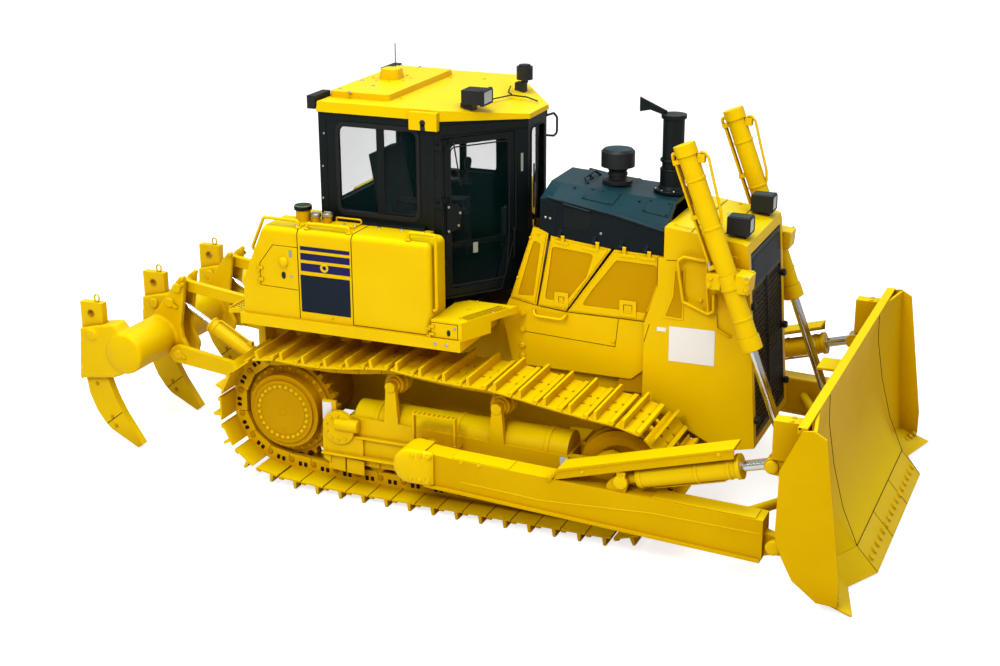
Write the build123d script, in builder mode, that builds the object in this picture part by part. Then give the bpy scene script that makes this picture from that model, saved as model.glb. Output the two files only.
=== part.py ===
"""Crawler bulldozer with a wide blade, a hexagonal cab and a three-shank ripper.

Units are millimetres. X points forwards to the blade, Y to the machine's left, Z up.
The origin is on the ground, half way along the overall length, on the middle plane.
Outlines of side plates are (x, z) corners; plan outlines are (x, y) corners.
"""
import os
from math import asin, atan2, cos, degrees, hypot, pi, radians, sin

from build123d import *

os.makedirs("parts", exist_ok=True)

# Running clearances
seat = 0.3                  # gap between pieces that rest against each other
pin_play = 0.5              # radial gap of a pin in its bore

# Undercarriage
gauge = 2000                # between the middle lines of the two tracks
shoe_width = 660
link_count = 41
track_y = gauge / 2
sprocket_x, sprocket_z = -1480, 655
sprocket_pin_radius = 468
idler_x, idler_z = 1570, 564
idler_pin_radius = 414
ground_pin_z = 150
link_seat = 66              # from the pins out to the back of a shoe
link_tread = 52             # from the pins in to the face that runs on the rollers
shoe_plate = 16
grouser_height = 68
grouser_thick = 22
shoe_gap = 5
rail_near, rail_far = 52, 98          # a link rail, measured from the chain's middle line
carrier_radius = 85
carrier_places = [(-440, 1048), (520, 989)]
carrier_drops = [16, 7]     # the straight links sag between two pins, so the rollers sit lower
roller_radius = 105
roller_flange = 122
roller_xs = [-970 + 350 * k for k in range(7)]
roller_z = ground_pin_z + link_tread + roller_radius
grouser_phase_x = -1300     # one grouser of the ground run stands here
grouser_offset = 54         # from a link's rear pin to its grouser, along the link
top_sags = [45, 18, 12]     # of the three top spans, from the sprocket forwards

# Hull
frame_half = 430
hull_rear_x = -2030
deck_top_z = 1550
deck_thick = 95
tank_half = 1230
platform_half = tank_half + 10      # outer face of the platform's box
deck_half = tank_half + 30
tank_top_z = 2330
cab_half = 850
cab_rear_x = -1200
cab_corner_x = -93
cab_front_x = 415
cab_front_half = 211
cab_floor_z = 1740
cab_wall = 50
cab_eave_z = 3245           # the walls' upper edge, behind the corner posts
cab_brow_z = 3185           # and at the front, where the roof has sloped down
roof_top_z = 3330
roof_brow_z = 3222
hood_half = 520
guard_half = 560

# Blade and its frame
trunnion_x, trunnion_z = -60, 560
beam_inner, beam_outer = 1400, 1600
trunnion_shaft_radius = 70
beam_pin_x, beam_pin_z = 2940, 362
blade_half = 1790
edge_tip = (3646, 17)
edge_top = (3472, 216)
moldboard_top = (3190, 1435)
moldboard_thick = 28
wing_start = 1012
wing_step = 1351

# Lift cylinders
lift_y = 720
lift_pivot = (2300, 2140)
lift_eye = (2888, 600)
lift_barrel_radius = 78
lift_rod_radius = 38
lift_barrel_up = 1130
lift_barrel_down = 570
yoke_shaft_radius = 38

# Tilt cylinders
tilt_y = 1500
tilt_pivot = (1725, 700)
tilt_eye = (2900, 1020)
tilt_barrel_radius = 88
tilt_rod_radius = 42

# Ripper
lower_front = (-2100, 700)
lower_rear = (-2902, 804)
upper_rear = (-2900, 1428)
upper_front = (lower_front[0] + upper_rear[0] - lower_rear[0], lower_front[1] + upper_rear[1] - lower_rear[1])
ripper_base = (-2140, 790)
ripper_rod_pin = (-2988, 1280)
lower_arm_inner, lower_arm_thick = 545, 60
upper_arm_inner, upper_arm_thick = 390, 60
ripper_cylinder_y = 420
ripper_pin = 40             # radius of the lower arms' pins
small_pin = 35              # radius of the upper arms' and the cylinders' pins
beam_tube_centre = (-3145, 935)
beam_tube_radius = 190
beam_tube_half = 1100
shank_y = [-1000, 0, 1000]
shank_half = 38


def side_plate(points, inner, thick, mode=Mode.ADD):
    """A plate on the right side, cut from (x, z) corners and thick outwards from y = -inner."""
    with BuildSketch(Plane.XZ.offset(inner)) as outline:
        with BuildLine():
            Polyline(*points, close=True)
        make_face()
    extrude(outline.sketch, amount=thick, mode=mode)


def side_disc(x, z, radius, inner, thick, mode=Mode.ADD):
    """A disc on the right side whose axis is along Y."""
    with BuildSketch(Plane.XZ.offset(inner)) as outline:
        with Locations((x, z)):
            Circle(radius)
    extrude(outline.sketch, amount=thick, mode=mode)


def block(x0, x1, y0, y1, z0, z1, mode=Mode.ADD):
    """A box between two corners."""
    with BuildSketch(Plane.XY.offset(z0)) as outline:
        with Locations(((x0 + x1) / 2, (y0 + y1) / 2)):
            Rectangle(abs(x1 - x0), abs(y1 - y0))
    extrude(outline.sketch, amount=z1 - z0, mode=mode)


def cross_plate(points, x0, thick, mode=Mode.ADD):
    """A plate across the machine, cut from (y, z) corners and thick forwards from x0."""
    with BuildSketch(Plane.YZ.offset(x0)) as outline:
        with BuildLine():
            Polyline(*points, close=True)
        make_face()
    extrude(outline.sketch, amount=thick, mode=mode)


def line_plane(start, end, y):
    """The plane at (x, z) start on the side y whose normal points to the (x, z) end."""
    direction = Vector(end[0] - start[0], 0, end[1] - start[1])
    return Plane(origin=(start[0], y, start[1]), x_dir=(0, 1, 0), z_dir=direction)


def rod_between(start, end, y, radius, begin, finish, mode=Mode.ADD):
    """A round bar along the line start to end, from begin to finish along it."""
    with BuildSketch(line_plane(start, end, y).offset(begin)) as outline:
        Circle(radius)
    extrude(outline.sketch, amount=finish - begin, mode=mode)


def link_plate(start, end, start_radius, end_radius, inner, thick, mode=Mode.ADD):
    """A flat bar on the right side between round ends at the (x, z) places start and end."""
    with BuildSketch(Plane.XZ.offset(inner)) as outline:
        with Locations(start):
            Circle(start_radius)
        with Locations(end):
            Circle(end_radius)
        make_hull()
    extrude(outline.sketch, amount=thick, mode=mode)


def plan_plate(points, z0, thick, mode=Mode.ADD):
    """A plate cut from (x, y) corners, thick upwards from z0."""
    with BuildSketch(Plane.XY.offset(z0)) as outline:
        with BuildLine():
            Polyline(*points, close=True)
        make_face()
    extrude(outline.sketch, amount=thick, mode=mode)


def upright(x, y, radius, z0, z1, mode=Mode.ADD):
    """A round bar standing from z0 to z1."""
    with BuildSketch(Plane.XY.offset(z0)) as outline:
        with Locations((x, y)):
            Circle(radius)
    extrude(outline.sketch, amount=z1 - z0, mode=mode)


def tube_along(points, radius, bend, mode=Mode.ADD):
    """A round bar bent along (x, y, z) points, with the corners rounded to the bend radius."""
    with BuildLine() as path:
        FilletPolyline(*points, radius=bend)
    with BuildSketch(Plane(origin=path.line @ 0, z_dir=path.line % 0)) as section:
        Circle(radius)
    sweep(sections=section.sketch, path=path.line, mode=mode)


def save(builder, name):
    builder.part.label = name
    export_step(builder.part, "parts/" + name + ".step")


def length(start, end):
    return hypot(end[0] - start[0], end[1] - start[1])


# Path of the chain's pins round sprocket, rollers and idler

def arc_points(centre, radius, first, last, step=2.0):
    """Points on an arc that turns clockwise from angle first to angle last, in degrees."""
    count = max(2, int(abs(first - last) / step))
    angles = [radians(first + (last - first) * k / count) for k in range(count + 1)]
    return [(centre[0] + radius * cos(a), centre[1] + radius * sin(a)) for a in angles]


def tangent_angle(c1, r1, c2, r2):
    """Angle of the touching points of the upper tangent that runs from circle 1 to circle 2."""
    dx, dz = c2[0] - c1[0], c2[1] - c1[1]
    return degrees(atan2(dz, dx) + pi / 2 - asin((r2 - r1) / hypot(dx, dz)) * -1)


def chain_path():
    """Closed list of points of the pin line, clockwise seen from the right, with the top sags."""
    circles = [((sprocket_x, sprocket_z), sprocket_pin_radius)]
    circles += [(place, carrier_radius + link_tread) for place in carrier_places]
    circles += [((idler_x, idler_z), idler_pin_radius)]
    circles += [((roller_xs[0], roller_z), roller_radius + link_tread)]
    angles = []
    for k, (centre, radius) in enumerate(circles):
        after, after_radius = circles[(k + 1) % len(circles)]
        angles.append(tangent_angle(centre, radius, after, after_radius))
    path = []
    for k, (centre, radius) in enumerate(circles):
        first, last = angles[k - 1], angles[k]
        while last > first:
            last -= 360
        path += arc_points(centre, radius, first, last)
        if k < len(top_sags):
            after, after_radius = circles[k + 1]
            start = path[-1]
            end = arc_points(after, after_radius, angles[k], angles[k] - 1)[0]
            for step in range(1, 20):
                t = step / 20
                sag = 4 * top_sags[k] * t * (1 - t)
                path.append((start[0] + (end[0] - start[0]) * t, start[1] + (end[1] - start[1]) * t - sag))
    return path


def chain_pins():
    """The pins, evenly spaced on the path, with one grouser of the ground run at its place."""
    path = chain_path()
    path.append(path[0])
    marks = [0.0]
    for a, b in zip(path, path[1:]):
        marks.append(marks[-1] + length(a, b))
    total = marks[-1]

    def at(distance):
        distance %= total
        for k in range(len(path) - 1):
            if marks[k + 1] >= distance:
                t = (distance - marks[k]) / (marks[k + 1] - marks[k])
                return (path[k][0] + (path[k + 1][0] - path[k][0]) * t,
                        path[k][1] + (path[k + 1][1] - path[k][1]) * t)
        return path[-1]

    low = [k for k, p in enumerate(path) if p[1] < ground_pin_z + 1]
    start = min(low, key=lambda k: path[k][0])
    shift = marks[start] - (grouser_phase_x + grouser_offset - path[start][0])
    return total / link_count, [at(shift + total * k / link_count) for k in range(link_count)]


spacing, pins = chain_pins()
print("chain spacing", round(spacing, 2))


def offset_ring(distance):
    """The pins' polygon moved outwards, with mitred corners."""
    ring = []
    for k in range(link_count):
        before, here, after = pins[k - 1], pins[k], pins[(k + 1) % link_count]
        a = Vector(here[0] - before[0], here[1] - before[1]).normalized()
        b = Vector(after[0] - here[0], after[1] - here[1]).normalized()
        na, nb = Vector(-a.Y, a.X), Vector(-b.Y, b.X)
        middle = (na + nb).normalized()
        reach = distance / middle.dot(na)
        ring.append((here[0] + middle.X * reach, here[1] + middle.Y * reach))
    return ring


with BuildPart() as track_right:
    # Two rails of links, one each side of the sprocket
    for near in (rail_near, -rail_far):
        with BuildSketch(Plane.XZ.offset(track_y + near)):
            with BuildLine():
                Polyline(*offset_ring(link_seat), close=True)
            make_face()
            with BuildLine():
                Polyline(*offset_ring(-link_tread), close=True)
            make_face(mode=Mode.SUBTRACT)
        extrude(amount=rail_far - rail_near)
    # A shoe with one grouser bar on each link
    shoe_tip = link_seat + shoe_plate + grouser_height
    with BuildSketch(Plane.XZ.offset(track_y - shoe_width / 2)):
        for k in range(link_count):
            rear_pin, front_pin = pins[k], pins[(k + 1) % link_count]
            along = Vector(front_pin[0] - rear_pin[0], front_pin[1] - rear_pin[1])
            shoe_end = along.length - shoe_gap
            along = along.normalized()
            out = Vector(-along.Y, along.X)
            profile = [(shoe_gap, link_seat), (shoe_end, link_seat), (shoe_end, link_seat + shoe_plate),
                       (grouser_offset + grouser_thick, link_seat + shoe_plate),
                       (grouser_offset + grouser_thick / 2, shoe_tip),
                       (grouser_offset - grouser_thick / 2, shoe_tip),
                       (grouser_offset - grouser_thick / 2, link_seat + shoe_plate),
                       (shoe_gap, link_seat + shoe_plate)]
            with BuildLine():
                Polyline(*[(rear_pin[0] + along.X * s + out.X * n, rear_pin[1] + along.Y * s + out.Y * n)
                           for s, n in profile], close=True)
            make_face()
    extrude(amount=shoe_width)
save(track_right, "track_right")

with BuildPart() as track_left:
    mirror(track_right.part, about=Plane.XZ)
save(track_left, "track_left")

# Sprockets: final drive drum, toothed rim and bolted hub
tooth_count = 27
tooth_root, tooth_tip = 424, 466
rim_half = 38
hub_radius = 330
hub_face = 1175

with BuildPart() as sprockets:
    side_disc(sprocket_x, sprocket_z, 300, frame_half + seat, track_y - rim_half - frame_half - seat)
    # teeth: (share of the tooth step, radius) of each corner
    tooth_corners = [(0.0, tooth_root), (0.24, tooth_root), (0.38, tooth_tip), (0.62, tooth_tip), (0.76, tooth_root)]
    rim_outline = []
    for k in range(tooth_count):
        for share, radius in tooth_corners[1:]:
            angle = radians(180 + (k + share - 0.5) * 360 / tooth_count)
            rim_outline.append((sprocket_x + radius * cos(angle), sprocket_z + radius * sin(angle)))
    side_plate(rim_outline, track_y - rim_half, 2 * rim_half)
    side_disc(sprocket_x, sprocket_z, 392, track_y + rim_half, 20)
    side_disc(sprocket_x, sprocket_z, hub_radius, track_y + rim_half, hub_face - track_y - rim_half - 20)
    side_disc(sprocket_x, sprocket_z, hub_radius - 45, hub_face - 20, 20)
    side_disc(sprocket_x, sprocket_z, 26, hub_face - 12, 12, mode=Mode.SUBTRACT)
    mirror(about=Plane.XZ)
save(sprockets, "sprockets")

# Idlers: rim, centre flange and recessed web
idler_tread = 347           # the links' inner faces touch the rim half way between two pins
with BuildPart() as idlers:
    side_disc(idler_x, idler_z, idler_tread, track_y - 92, 184)
    side_disc(idler_x, idler_z, idler_tread + 20, track_y - 46, 92)
    side_disc(idler_x, idler_z, idler_tread - 50, track_y + 62, 30, mode=Mode.SUBTRACT)
    side_disc(idler_x, idler_z, idler_tread - 50, track_y - 92, 30, mode=Mode.SUBTRACT)
    side_disc(idler_x, idler_z, 95, track_y - 104, 208)
    mirror(about=Plane.XZ)
save(idlers, "idlers")

# Track frames with rollers, carrier rollers and the recoil tube
tube_radius = 165
tube_z = 645
shelf_half = 180
step_outer, step_depth = 1322, 46
step_rear_x, step_front_x = -176, 196
step_leg = 16
step_top_z = 900
step_teeth = 9
with BuildPart() as track_frame_right:
    # lower box
    box_outline = [(-1000, 360), (-860, 330), (1080, 330), (1150, 420), (1150, 660), (-820, 720), (-960, 620)]
    side_plate(box_outline, track_y - shelf_half, 2 * shelf_half)
    with BuildSketch(Plane.YZ.offset(-800)):
        with Locations((-track_y, tube_z)):
            Circle(tube_radius)
    extrude(amount=1150 + 800 - 20)
    # idler yoke arms, one each side of the idler
    for near in (104 + seat, -104 - seat - 60):
        side_plate([(1150, 430), (1660, 470), (1700, 564), (1660, 650), (1603, 714), (1500, 750), (1414, 719),
                    (1345, 660), (1150, 660)], track_y + near, 60)
    # carrier roller posts and rollers
    for (x, path_z), drop in zip(carrier_places, carrier_drops):
        z = path_z - drop
        side_plate([(x - 70, 640), (x - 45, z - 30), (x - 45, z + 30), (x + 45, z + 30), (x + 45, z - 30),
                    (x + 70, 640)], track_y + 130, 50)
        side_disc(x, z, carrier_radius, track_y - 100, 200)
        side_disc(x, z, carrier_radius + 18, track_y - 46, 92)
        side_disc(x, z, 40, track_y - 100, 280)
    # bottom rollers on their shafts
    for x in roller_xs:
        # the rearmost roller is smaller, because the chain starts to rise there
        side_disc(x, roller_z, roller_radius - (seat if x > roller_xs[0] else 3), track_y - 100, 200)
        side_disc(x, roller_z, roller_flange, track_y - 46, 92)
        side_disc(x, roller_z, 42, track_y - 150, 300)
    # hanger plates that carry the roller shafts
    for near in (120, -150):
        side_plate([(-1060, 262), (1190, 262), (1190, 345), (-1060, 345)], track_y + near, 30)
    # step between the two runs of the track: its legs, feet on the shelf and serrated tread
    for x in (step_front_x, step_rear_x):
        block(x, x + step_leg, -step_outer, 1 - track_y - shelf_half, 560, 620)
        block(x, x + step_leg, -step_outer, step_depth - step_outer, 560, step_top_z - 10)
    block(step_rear_x, step_front_x + step_leg, -step_outer, step_depth - step_outer, step_top_z - 22,
          step_top_z - 10)
    for k in range(step_teeth):
        x = step_rear_x + (step_front_x + step_leg - step_rear_x) * k / step_teeth
        block(x, x + 16, -step_outer, step_depth - step_outer, step_top_z - 11, step_top_z)
    # cover of the pivot shaft, and the shaft that the push beam's housing turns on
    side_disc(-920, 610, 150, track_y + shelf_half, 40)
    side_disc(trunnion_x, trunnion_z, trunnion_shaft_radius, track_y + shelf_half - 1, 1560 - track_y - shelf_half)
save(track_frame_right, "track_frame_right")

with BuildPart() as track_frame_left:
    mirror(track_frame_right.part, about=Plane.XZ)
save(track_frame_left, "track_frame_left")

# Hull
pivot_shaft = (-640, 520)
with BuildPart() as main_frame:
    hull_outline = [(hull_rear_x, 520), (-1700, 440), (1350, 440), (1560, 560), (1560, 1000), (1200, 1140),
                    (400, 1140), (300, deck_top_z), (-1750, deck_top_z), (hull_rear_x, 1440)]
    side_plate(hull_outline, 0, frame_half)
    side_disc(pivot_shaft[0], pivot_shaft[1], 90, frame_half - 10, track_y - shelf_half - frame_half + 10 - seat)
    side_plate([(900, 470), (1100, 470), (1100, 600), (900, 600)], frame_half - 10,
               track_y - shelf_half - frame_half + 10 - seat)
    # rear plate with the ears and pins for the ripper's arms and cylinders
    side_plate([(hull_rear_x, 540), (-1960, 540), (-1960, 1440), (hull_rear_x, 1440)], frame_half - 10, 180)
    link_plate(lower_front, (-2020, 680), 62, 100, 480, 62)
    link_plate(ripper_base, (-2000, 790), 62, 110, 480, 62)
    link_plate(ripper_base, (-2000, 790), 62, 110, 325, 45)
    for near in (335, 455):
        link_plate(upper_front, (-2010, 1324), 60, 80, near, 50 if near == 335 else 45)
    side_disc(lower_front[0], lower_front[1], ripper_pin, 480, lower_arm_inner + lower_arm_thick - 480)
    side_disc(ripper_base[0], ripper_base[1], small_pin, 325, 155)
    side_disc(upper_front[0], upper_front[1], small_pin, 335, 120)
    mirror(about=Plane.XZ)
save(main_frame, "main_frame")

# Engine, a plain heavy block on the hull under the hood
with BuildPart() as engine:
    block(450, 1480, -330, 330, 1140 + seat, 2050)
save(engine, "engine")

# Decks over the tracks, with the platform in front of the cab door and the rear step
platform_z = 1700
with BuildPart() as deck_plain:
    side_plate([(-1800, deck_top_z - deck_thick), (-1800, deck_top_z), (240, deck_top_z),
                (240, deck_top_z - deck_thick)], frame_half + seat, deck_half - frame_half - seat)
    plan_plate([(-25, -platform_half), (245, -platform_half), (375, -938), (62, -655), (-25, -765)], deck_top_z - 10,
               platform_z - deck_top_z + 10)
    plan_plate([(245, -platform_half), (497, -655), (62, -655)], platform_z - 60, 60)
    # perforated step behind the tank
    side_plate([(-2000, 1480), (-2000, 1520), (-1800, 1545), (-1800, 1500)], 620, 500)

# On the right side the platform's box has a compartment with a lid
lid_x0, lid_x1 = -23, 207
lid_z0, lid_z1 = 1556, 1676
leaf_height = 22            # of the hinge halves below the lids' knuckles
box_hinge_zs = (deck_top_z + seat + leaf_height, 1635)
with BuildPart() as deck_right:
    add(deck_plain.part)
    block(lid_x0 - 6, lid_x1 + 6, -platform_half - 1, 21 - platform_half, lid_z0 - 6, lid_z1 + 6,
          mode=Mode.SUBTRACT)
    block(lid_x0 + 15, lid_x1 - 10, 20 - platform_half, 140 - platform_half, lid_z0 + 6, lid_z1 - 8,
          mode=Mode.SUBTRACT)
save(deck_right, "deck_right")

with BuildPart() as deck_left:
    mirror(deck_plain.part, about=Plane.XZ)
save(deck_left, "deck_left")

# Side tanks with a slanted rear and rounded upper edges
tank_outline = [(-1770, deck_top_z + seat), (-1770, 1830), (-1550, tank_top_z), (-30, tank_top_z),
                (-30, deck_top_z + seat)]
tank_inner = cab_half + 12
tank_round = 55
filler_y = cab_half + 95
behind_cab_x = cab_rear_x - 12
with BuildPart() as tank_plain:
    side_plate(tank_outline, tank_inner, tank_half - tank_inner)
    # the part behind the cab
    side_plate([(-1770, deck_top_z + seat), (-1770, 1830), (-1550, tank_top_z - 60), (behind_cab_x, tank_top_z - 60),
                (behind_cab_x, deck_top_z + seat)], 420, tank_inner - 420)
    fillet(tank_plain.edges().filter_by(Axis.X).group_by(Axis.Z)[-1].sort_by(Axis.Y)[0], tank_round)
    fillet(tank_plain.edges().filter_by(Axis.Z).group_by(Axis.X)[-1].sort_by(Axis.Y)[0], tank_round)
    # notch that leaves room for the cab door's hinges
    block(-160, -29, -cab_half - 90, 1 - tank_inner, deck_top_z, tank_top_z + 1, mode=Mode.SUBTRACT)

# The right tank has a compartment with a lid in its rear part, and the filler necks
hatch_outline = [(-1597, 1814), (-1238, 1806), (-1238, 2170), (-1469, 2170), (-1597, 2002)]
hatch_gap = 6
hatch_thick = 20
with BuildPart() as tank_right:
    add(tank_plain.part)
    with BuildSketch(Plane.XZ.offset(tank_half - 120)):
        with BuildLine():
            Polyline(*hatch_outline, close=True)
        make_face()
        offset(amount=hatch_gap, kind=Kind.INTERSECTION, mode=Mode.REPLACE)
    extrude(amount=121, mode=Mode.SUBTRACT)
    # filler necks and caps: place, radius of the neck, radius of the cap, height of each
    for x, neck, cap, neck_high, cap_high in ((-1325, 62, 72, 95, 37), (-1205, 36, 42, 42, 28), (-1095, 36, 42, 55, 30)):
        upright(x, -filler_y, neck, tank_top_z - 30, tank_top_z + neck_high)
        upright(x, -filler_y, cap, tank_top_z + neck_high, tank_top_z + neck_high + cap_high)
save(tank_right, "tank_right")

with BuildPart() as tank_left:
    mirror(tank_plain.part, about=Plane.XZ)
save(tank_left, "tank_left")

# Lids: plate, hinge knuckles on the rear edge, and the knuckles' pins on the tank and the box
hinge_play = 0.5
knuckle_radius = 8
hinge_pin_radius = 4
with BuildPart() as tank_lid:
    side_plate(hatch_outline, tank_half - hatch_thick, hatch_thick - seat)
    for z in (1850, 1950):
        upright(-1606, -(tank_half + 9), knuckle_radius, z, z + 30)
        side_plate([(-1606, z), (-1570, z), (-1570, z + 30), (-1606, z + 30)], tank_half + 4, 8)
        side_plate([(-1590, z), (-1570, z), (-1570, z + 30), (-1590, z + 30)], tank_half - 5, 12)
        upright(-1606, -(tank_half + 9), hinge_pin_radius + hinge_play, z, z + 30, mode=Mode.SUBTRACT)
save(tank_lid, "tank_lid")

with BuildPart() as box_lid:
    side_plate([(lid_x0, lid_z0), (lid_x1, lid_z0), (lid_x1, lid_z1), (lid_x0, lid_z1)], platform_half - 15, 15 - seat)
    for z in box_hinge_zs:
        upright(lid_x0 - 10, -platform_half - 9, knuckle_radius, z, z + 20)
        side_plate([(lid_x0 - 10, z), (lid_x0 + 30, z), (lid_x0 + 30, z + 20), (lid_x0 - 10, z + 20)],
                   platform_half + 4, 8)
        side_plate([(lid_x0 + 8, z), (lid_x0 + 30, z), (lid_x0 + 30, z + 20), (lid_x0 + 8, z + 20)],
                   platform_half - 5, 12)
        upright(lid_x0 - 10, -platform_half - 9, hinge_pin_radius + hinge_play, z, z + 20, mode=Mode.SUBTRACT)
save(box_lid, "box_lid")

# Hinge halves fixed to the tank and the box, with the pins that pass through the lids' knuckles
with BuildPart() as lid_hinges:
    for x, y, face, tops, high in ((-1606, -(tank_half + 9), tank_half, (1850, 1950), 30),
                                   (lid_x0 - 10, -platform_half - 9, platform_half, box_hinge_zs, 20)):
        for z in tops:
            upright(x, y, knuckle_radius, z - leaf_height, z - 1)
            upright(x, y, hinge_pin_radius, z - 1, z + high)
            side_plate([(x - 30, z - leaf_height), (x, z - leaf_height), (x, z - 1), (x - 30, z - 1)], face + seat, 8)
save(lid_hinges, "lid_hinges")

# Cab: hexagonal shell with cut windows
cab_plan = [(cab_rear_x, cab_half), (cab_corner_x, cab_half), (cab_front_x, cab_front_half),
            (cab_front_x, -cab_front_half), (cab_corner_x, -cab_half), (cab_rear_x, -cab_half)]
door_direction = Vector(cab_front_x - cab_corner_x, cab_half - cab_front_half)
door_wall_length = door_direction.length
door_direction = door_direction.normalized()
door_normal = Vector(door_direction.Y, -door_direction.X)
# the right door's wall plane: local x runs forwards along the wall, z points out of the cab
door_plane = Plane(origin=(cab_corner_x, -cab_half, 0), x_dir=(door_direction.X, door_direction.Y, 0),
                   z_dir=(door_normal.X, door_normal.Y, 0))
door_start, door_end = 25, door_wall_length - 125
door_low, door_high = cab_floor_z + 20, cab_brow_z - 85
# the door's lower front corner is cut off, so that it swings clear of the corner panel
door_cut, door_cut_z = 128, 2240
door_corners = [(door_start, door_low), (door_end - door_cut, door_low), (door_end, door_cut_z),
                (door_end, door_high), (door_start, door_high)]
window_z = 2780             # middle of the side and rear windows
window_x = (cab_rear_x + cab_corner_x) / 2 - 15
side_window = (730, 720)
rear_window = (1240, 700)
windscreen = (300, 940)
windscreen_z = 2620

hinge_axis = (cab_corner_x + 9, -cab_half - 18)
hinge_radius = 14
hinge_zs = (2040, 2570, 3050)


def door_point(along, out):
    """Plan place on the right door's wall, along it from its rear corner and out of it."""
    return (cab_corner_x + door_direction.X * along + door_normal.X * out,
            -cab_half + door_direction.Y * along + door_normal.Y * out)


def door_sheet(depth, thick, inset, corner, mode=Mode.ADD):
    """A sheet with the right door's outline moved in by inset, thick outwards from depth behind the wall."""
    with BuildSketch(door_plane.offset(-depth)) as outline:
        with BuildLine():
            Polyline(*door_corners, close=True)
        make_face()
        if inset:
            offset(amount=-inset, kind=Kind.INTERSECTION, mode=Mode.REPLACE)
        if corner:
            fillet(outline.vertices(), corner)
    return extrude(outline.sketch, amount=thick, mode=mode)


def eave_height(x):
    """Height of the cab walls' upper edge at x."""
    slope = (cab_brow_z - cab_eave_z) / (cab_front_x - cab_corner_x)
    return cab_eave_z + min(0, slope * (x - cab_corner_x))


with BuildPart() as cab_frame:
    with BuildSketch(Plane.XY.offset(cab_floor_z)):
        with BuildLine():
            Polyline(*cab_plan, close=True)
        make_face()
    extrude(amount=cab_eave_z - cab_floor_z)
    with BuildSketch(Plane.XY.offset(cab_floor_z + 20)):
        with BuildLine():
            Polyline(*cab_plan, close=True)
        make_face()
        offset(amount=-cab_wall, mode=Mode.REPLACE)
    extrude(amount=cab_eave_z - cab_floor_z, mode=Mode.SUBTRACT)
    # the upper edge slopes down in front of the corner posts
    side_plate([(cab_corner_x, cab_eave_z), (cab_front_x + 1, eave_height(cab_front_x + 1)),
                (cab_front_x + 1, cab_eave_z + 1), (cab_corner_x, cab_eave_z + 1)], -cab_half - 1, 2 * cab_half + 2,
               mode=Mode.SUBTRACT)
    # side windows
    with BuildSketch(Plane.XZ.offset(-cab_half - 1)):
        with Locations((window_x, window_z)):
            RectangleRounded(*side_window, 70)
    extrude(amount=2 * cab_half + 2, mode=Mode.SUBTRACT)
    # rear window
    with BuildSketch(Plane.YZ.offset(cab_rear_x - 50)):
        with Locations((0, window_z)):
            RectangleRounded(*rear_window, 60)
    extrude(amount=150, mode=Mode.SUBTRACT)
    # windscreen
    with BuildSketch(Plane.YZ.offset(cab_front_x - 100)):
        with Locations((0, windscreen_z)):
            RectangleRounded(*windscreen, 40)
    extrude(amount=150, mode=Mode.SUBTRACT)
    # door openings
    opening = door_sheet(80, 160, 0, 0, mode=Mode.SUBTRACT)
    mirror(opening, about=Plane.XZ, mode=Mode.SUBTRACT)
    # frame halves of the door hinges, with the pins
    with BuildPart(mode=Mode.PRIVATE) as hinge_halves:
        for z in hinge_zs:
            upright(*hinge_axis, hinge_radius, z - 42, z - 1)
            upright(*hinge_axis, hinge_radius / 2, z - 1, z + 40)
            plan_plate([(cab_corner_x - 57, 2 - cab_half), (cab_corner_x - 57, -cab_half - 8),
                        (cab_corner_x + 1, -cab_half - 30), (cab_corner_x + 9, -cab_half - 6),
                        (cab_corner_x - 7, 2 - cab_half)], z - 42, 41)
    add(hinge_halves.part)
    mirror(hinge_halves.part, about=Plane.XZ)
save(cab_frame, "cab_frame")

# Base under the rear part of the cab's floor
with BuildPart() as cab_base:
    block(cab_rear_x, -60, -700, 700, deck_top_z + seat, cab_floor_z - seat)
save(cab_base, "cab_base")

# Cab doors on the slanted walls, hinged at the rear corner
door_gap = 6
door_thick = 42
glass_thick = 6
door_frame = 55
with BuildPart() as cab_door_right:
    door_sheet(door_thick, door_thick - 1, door_gap, 0)
    door_sheet(door_thick + 1, door_thick + 2, door_gap + door_frame, 50, mode=Mode.SUBTRACT)
    for z in hinge_zs:
        upright(*hinge_axis, hinge_radius, z, z + 40)
        plan_plate([door_point(-8, 28), door_point(50, 16), door_point(75, -2), door_point(45, -2),
                    door_point(34, 6), door_point(-8, 8)], z, 40)
        upright(*hinge_axis, hinge_radius / 2 + pin_play, z, z + 40, mode=Mode.SUBTRACT)
save(cab_door_right, "cab_door_right")

with BuildPart() as cab_door_left:
    mirror(cab_door_right.part, about=Plane.XZ)
save(cab_door_left, "cab_door_left")

with BuildPart() as door_glass_right:
    door_sheet(door_thick / 2 + glass_thick, glass_thick, door_gap + door_frame + seat, 50 - seat)
save(door_glass_right, "door_glass_right")

with BuildPart() as door_glass_left:
    mirror(door_glass_right.part, about=Plane.XZ)
save(door_glass_left, "door_glass_left")

# Fixed panes
with BuildPart() as cab_glass:
    for side in (-1, 1):
        with BuildSketch(Plane.XZ.offset(-side * (cab_half - 28))):
            with Locations((window_x, window_z)):
                RectangleRounded(side_window[0] - 2 * seat, side_window[1] - 2 * seat, 70)
        extrude(amount=glass_thick)
    with BuildSketch(Plane.YZ.offset(cab_rear_x + 20)):
        with Locations((0, window_z)):
            RectangleRounded(rear_window[0] - 2 * seat, rear_window[1] - 2 * seat, 60)
    extrude(amount=glass_thick)
    with BuildSketch(Plane.YZ.offset(cab_front_x - 28)):
        with Locations((0, windscreen_z)):
            RectangleRounded(windscreen[0] - 2 * seat, windscreen[1] - 2 * seat, 40)
    extrude(amount=glass_thick)
save(cab_glass, "cab_glass")

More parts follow.
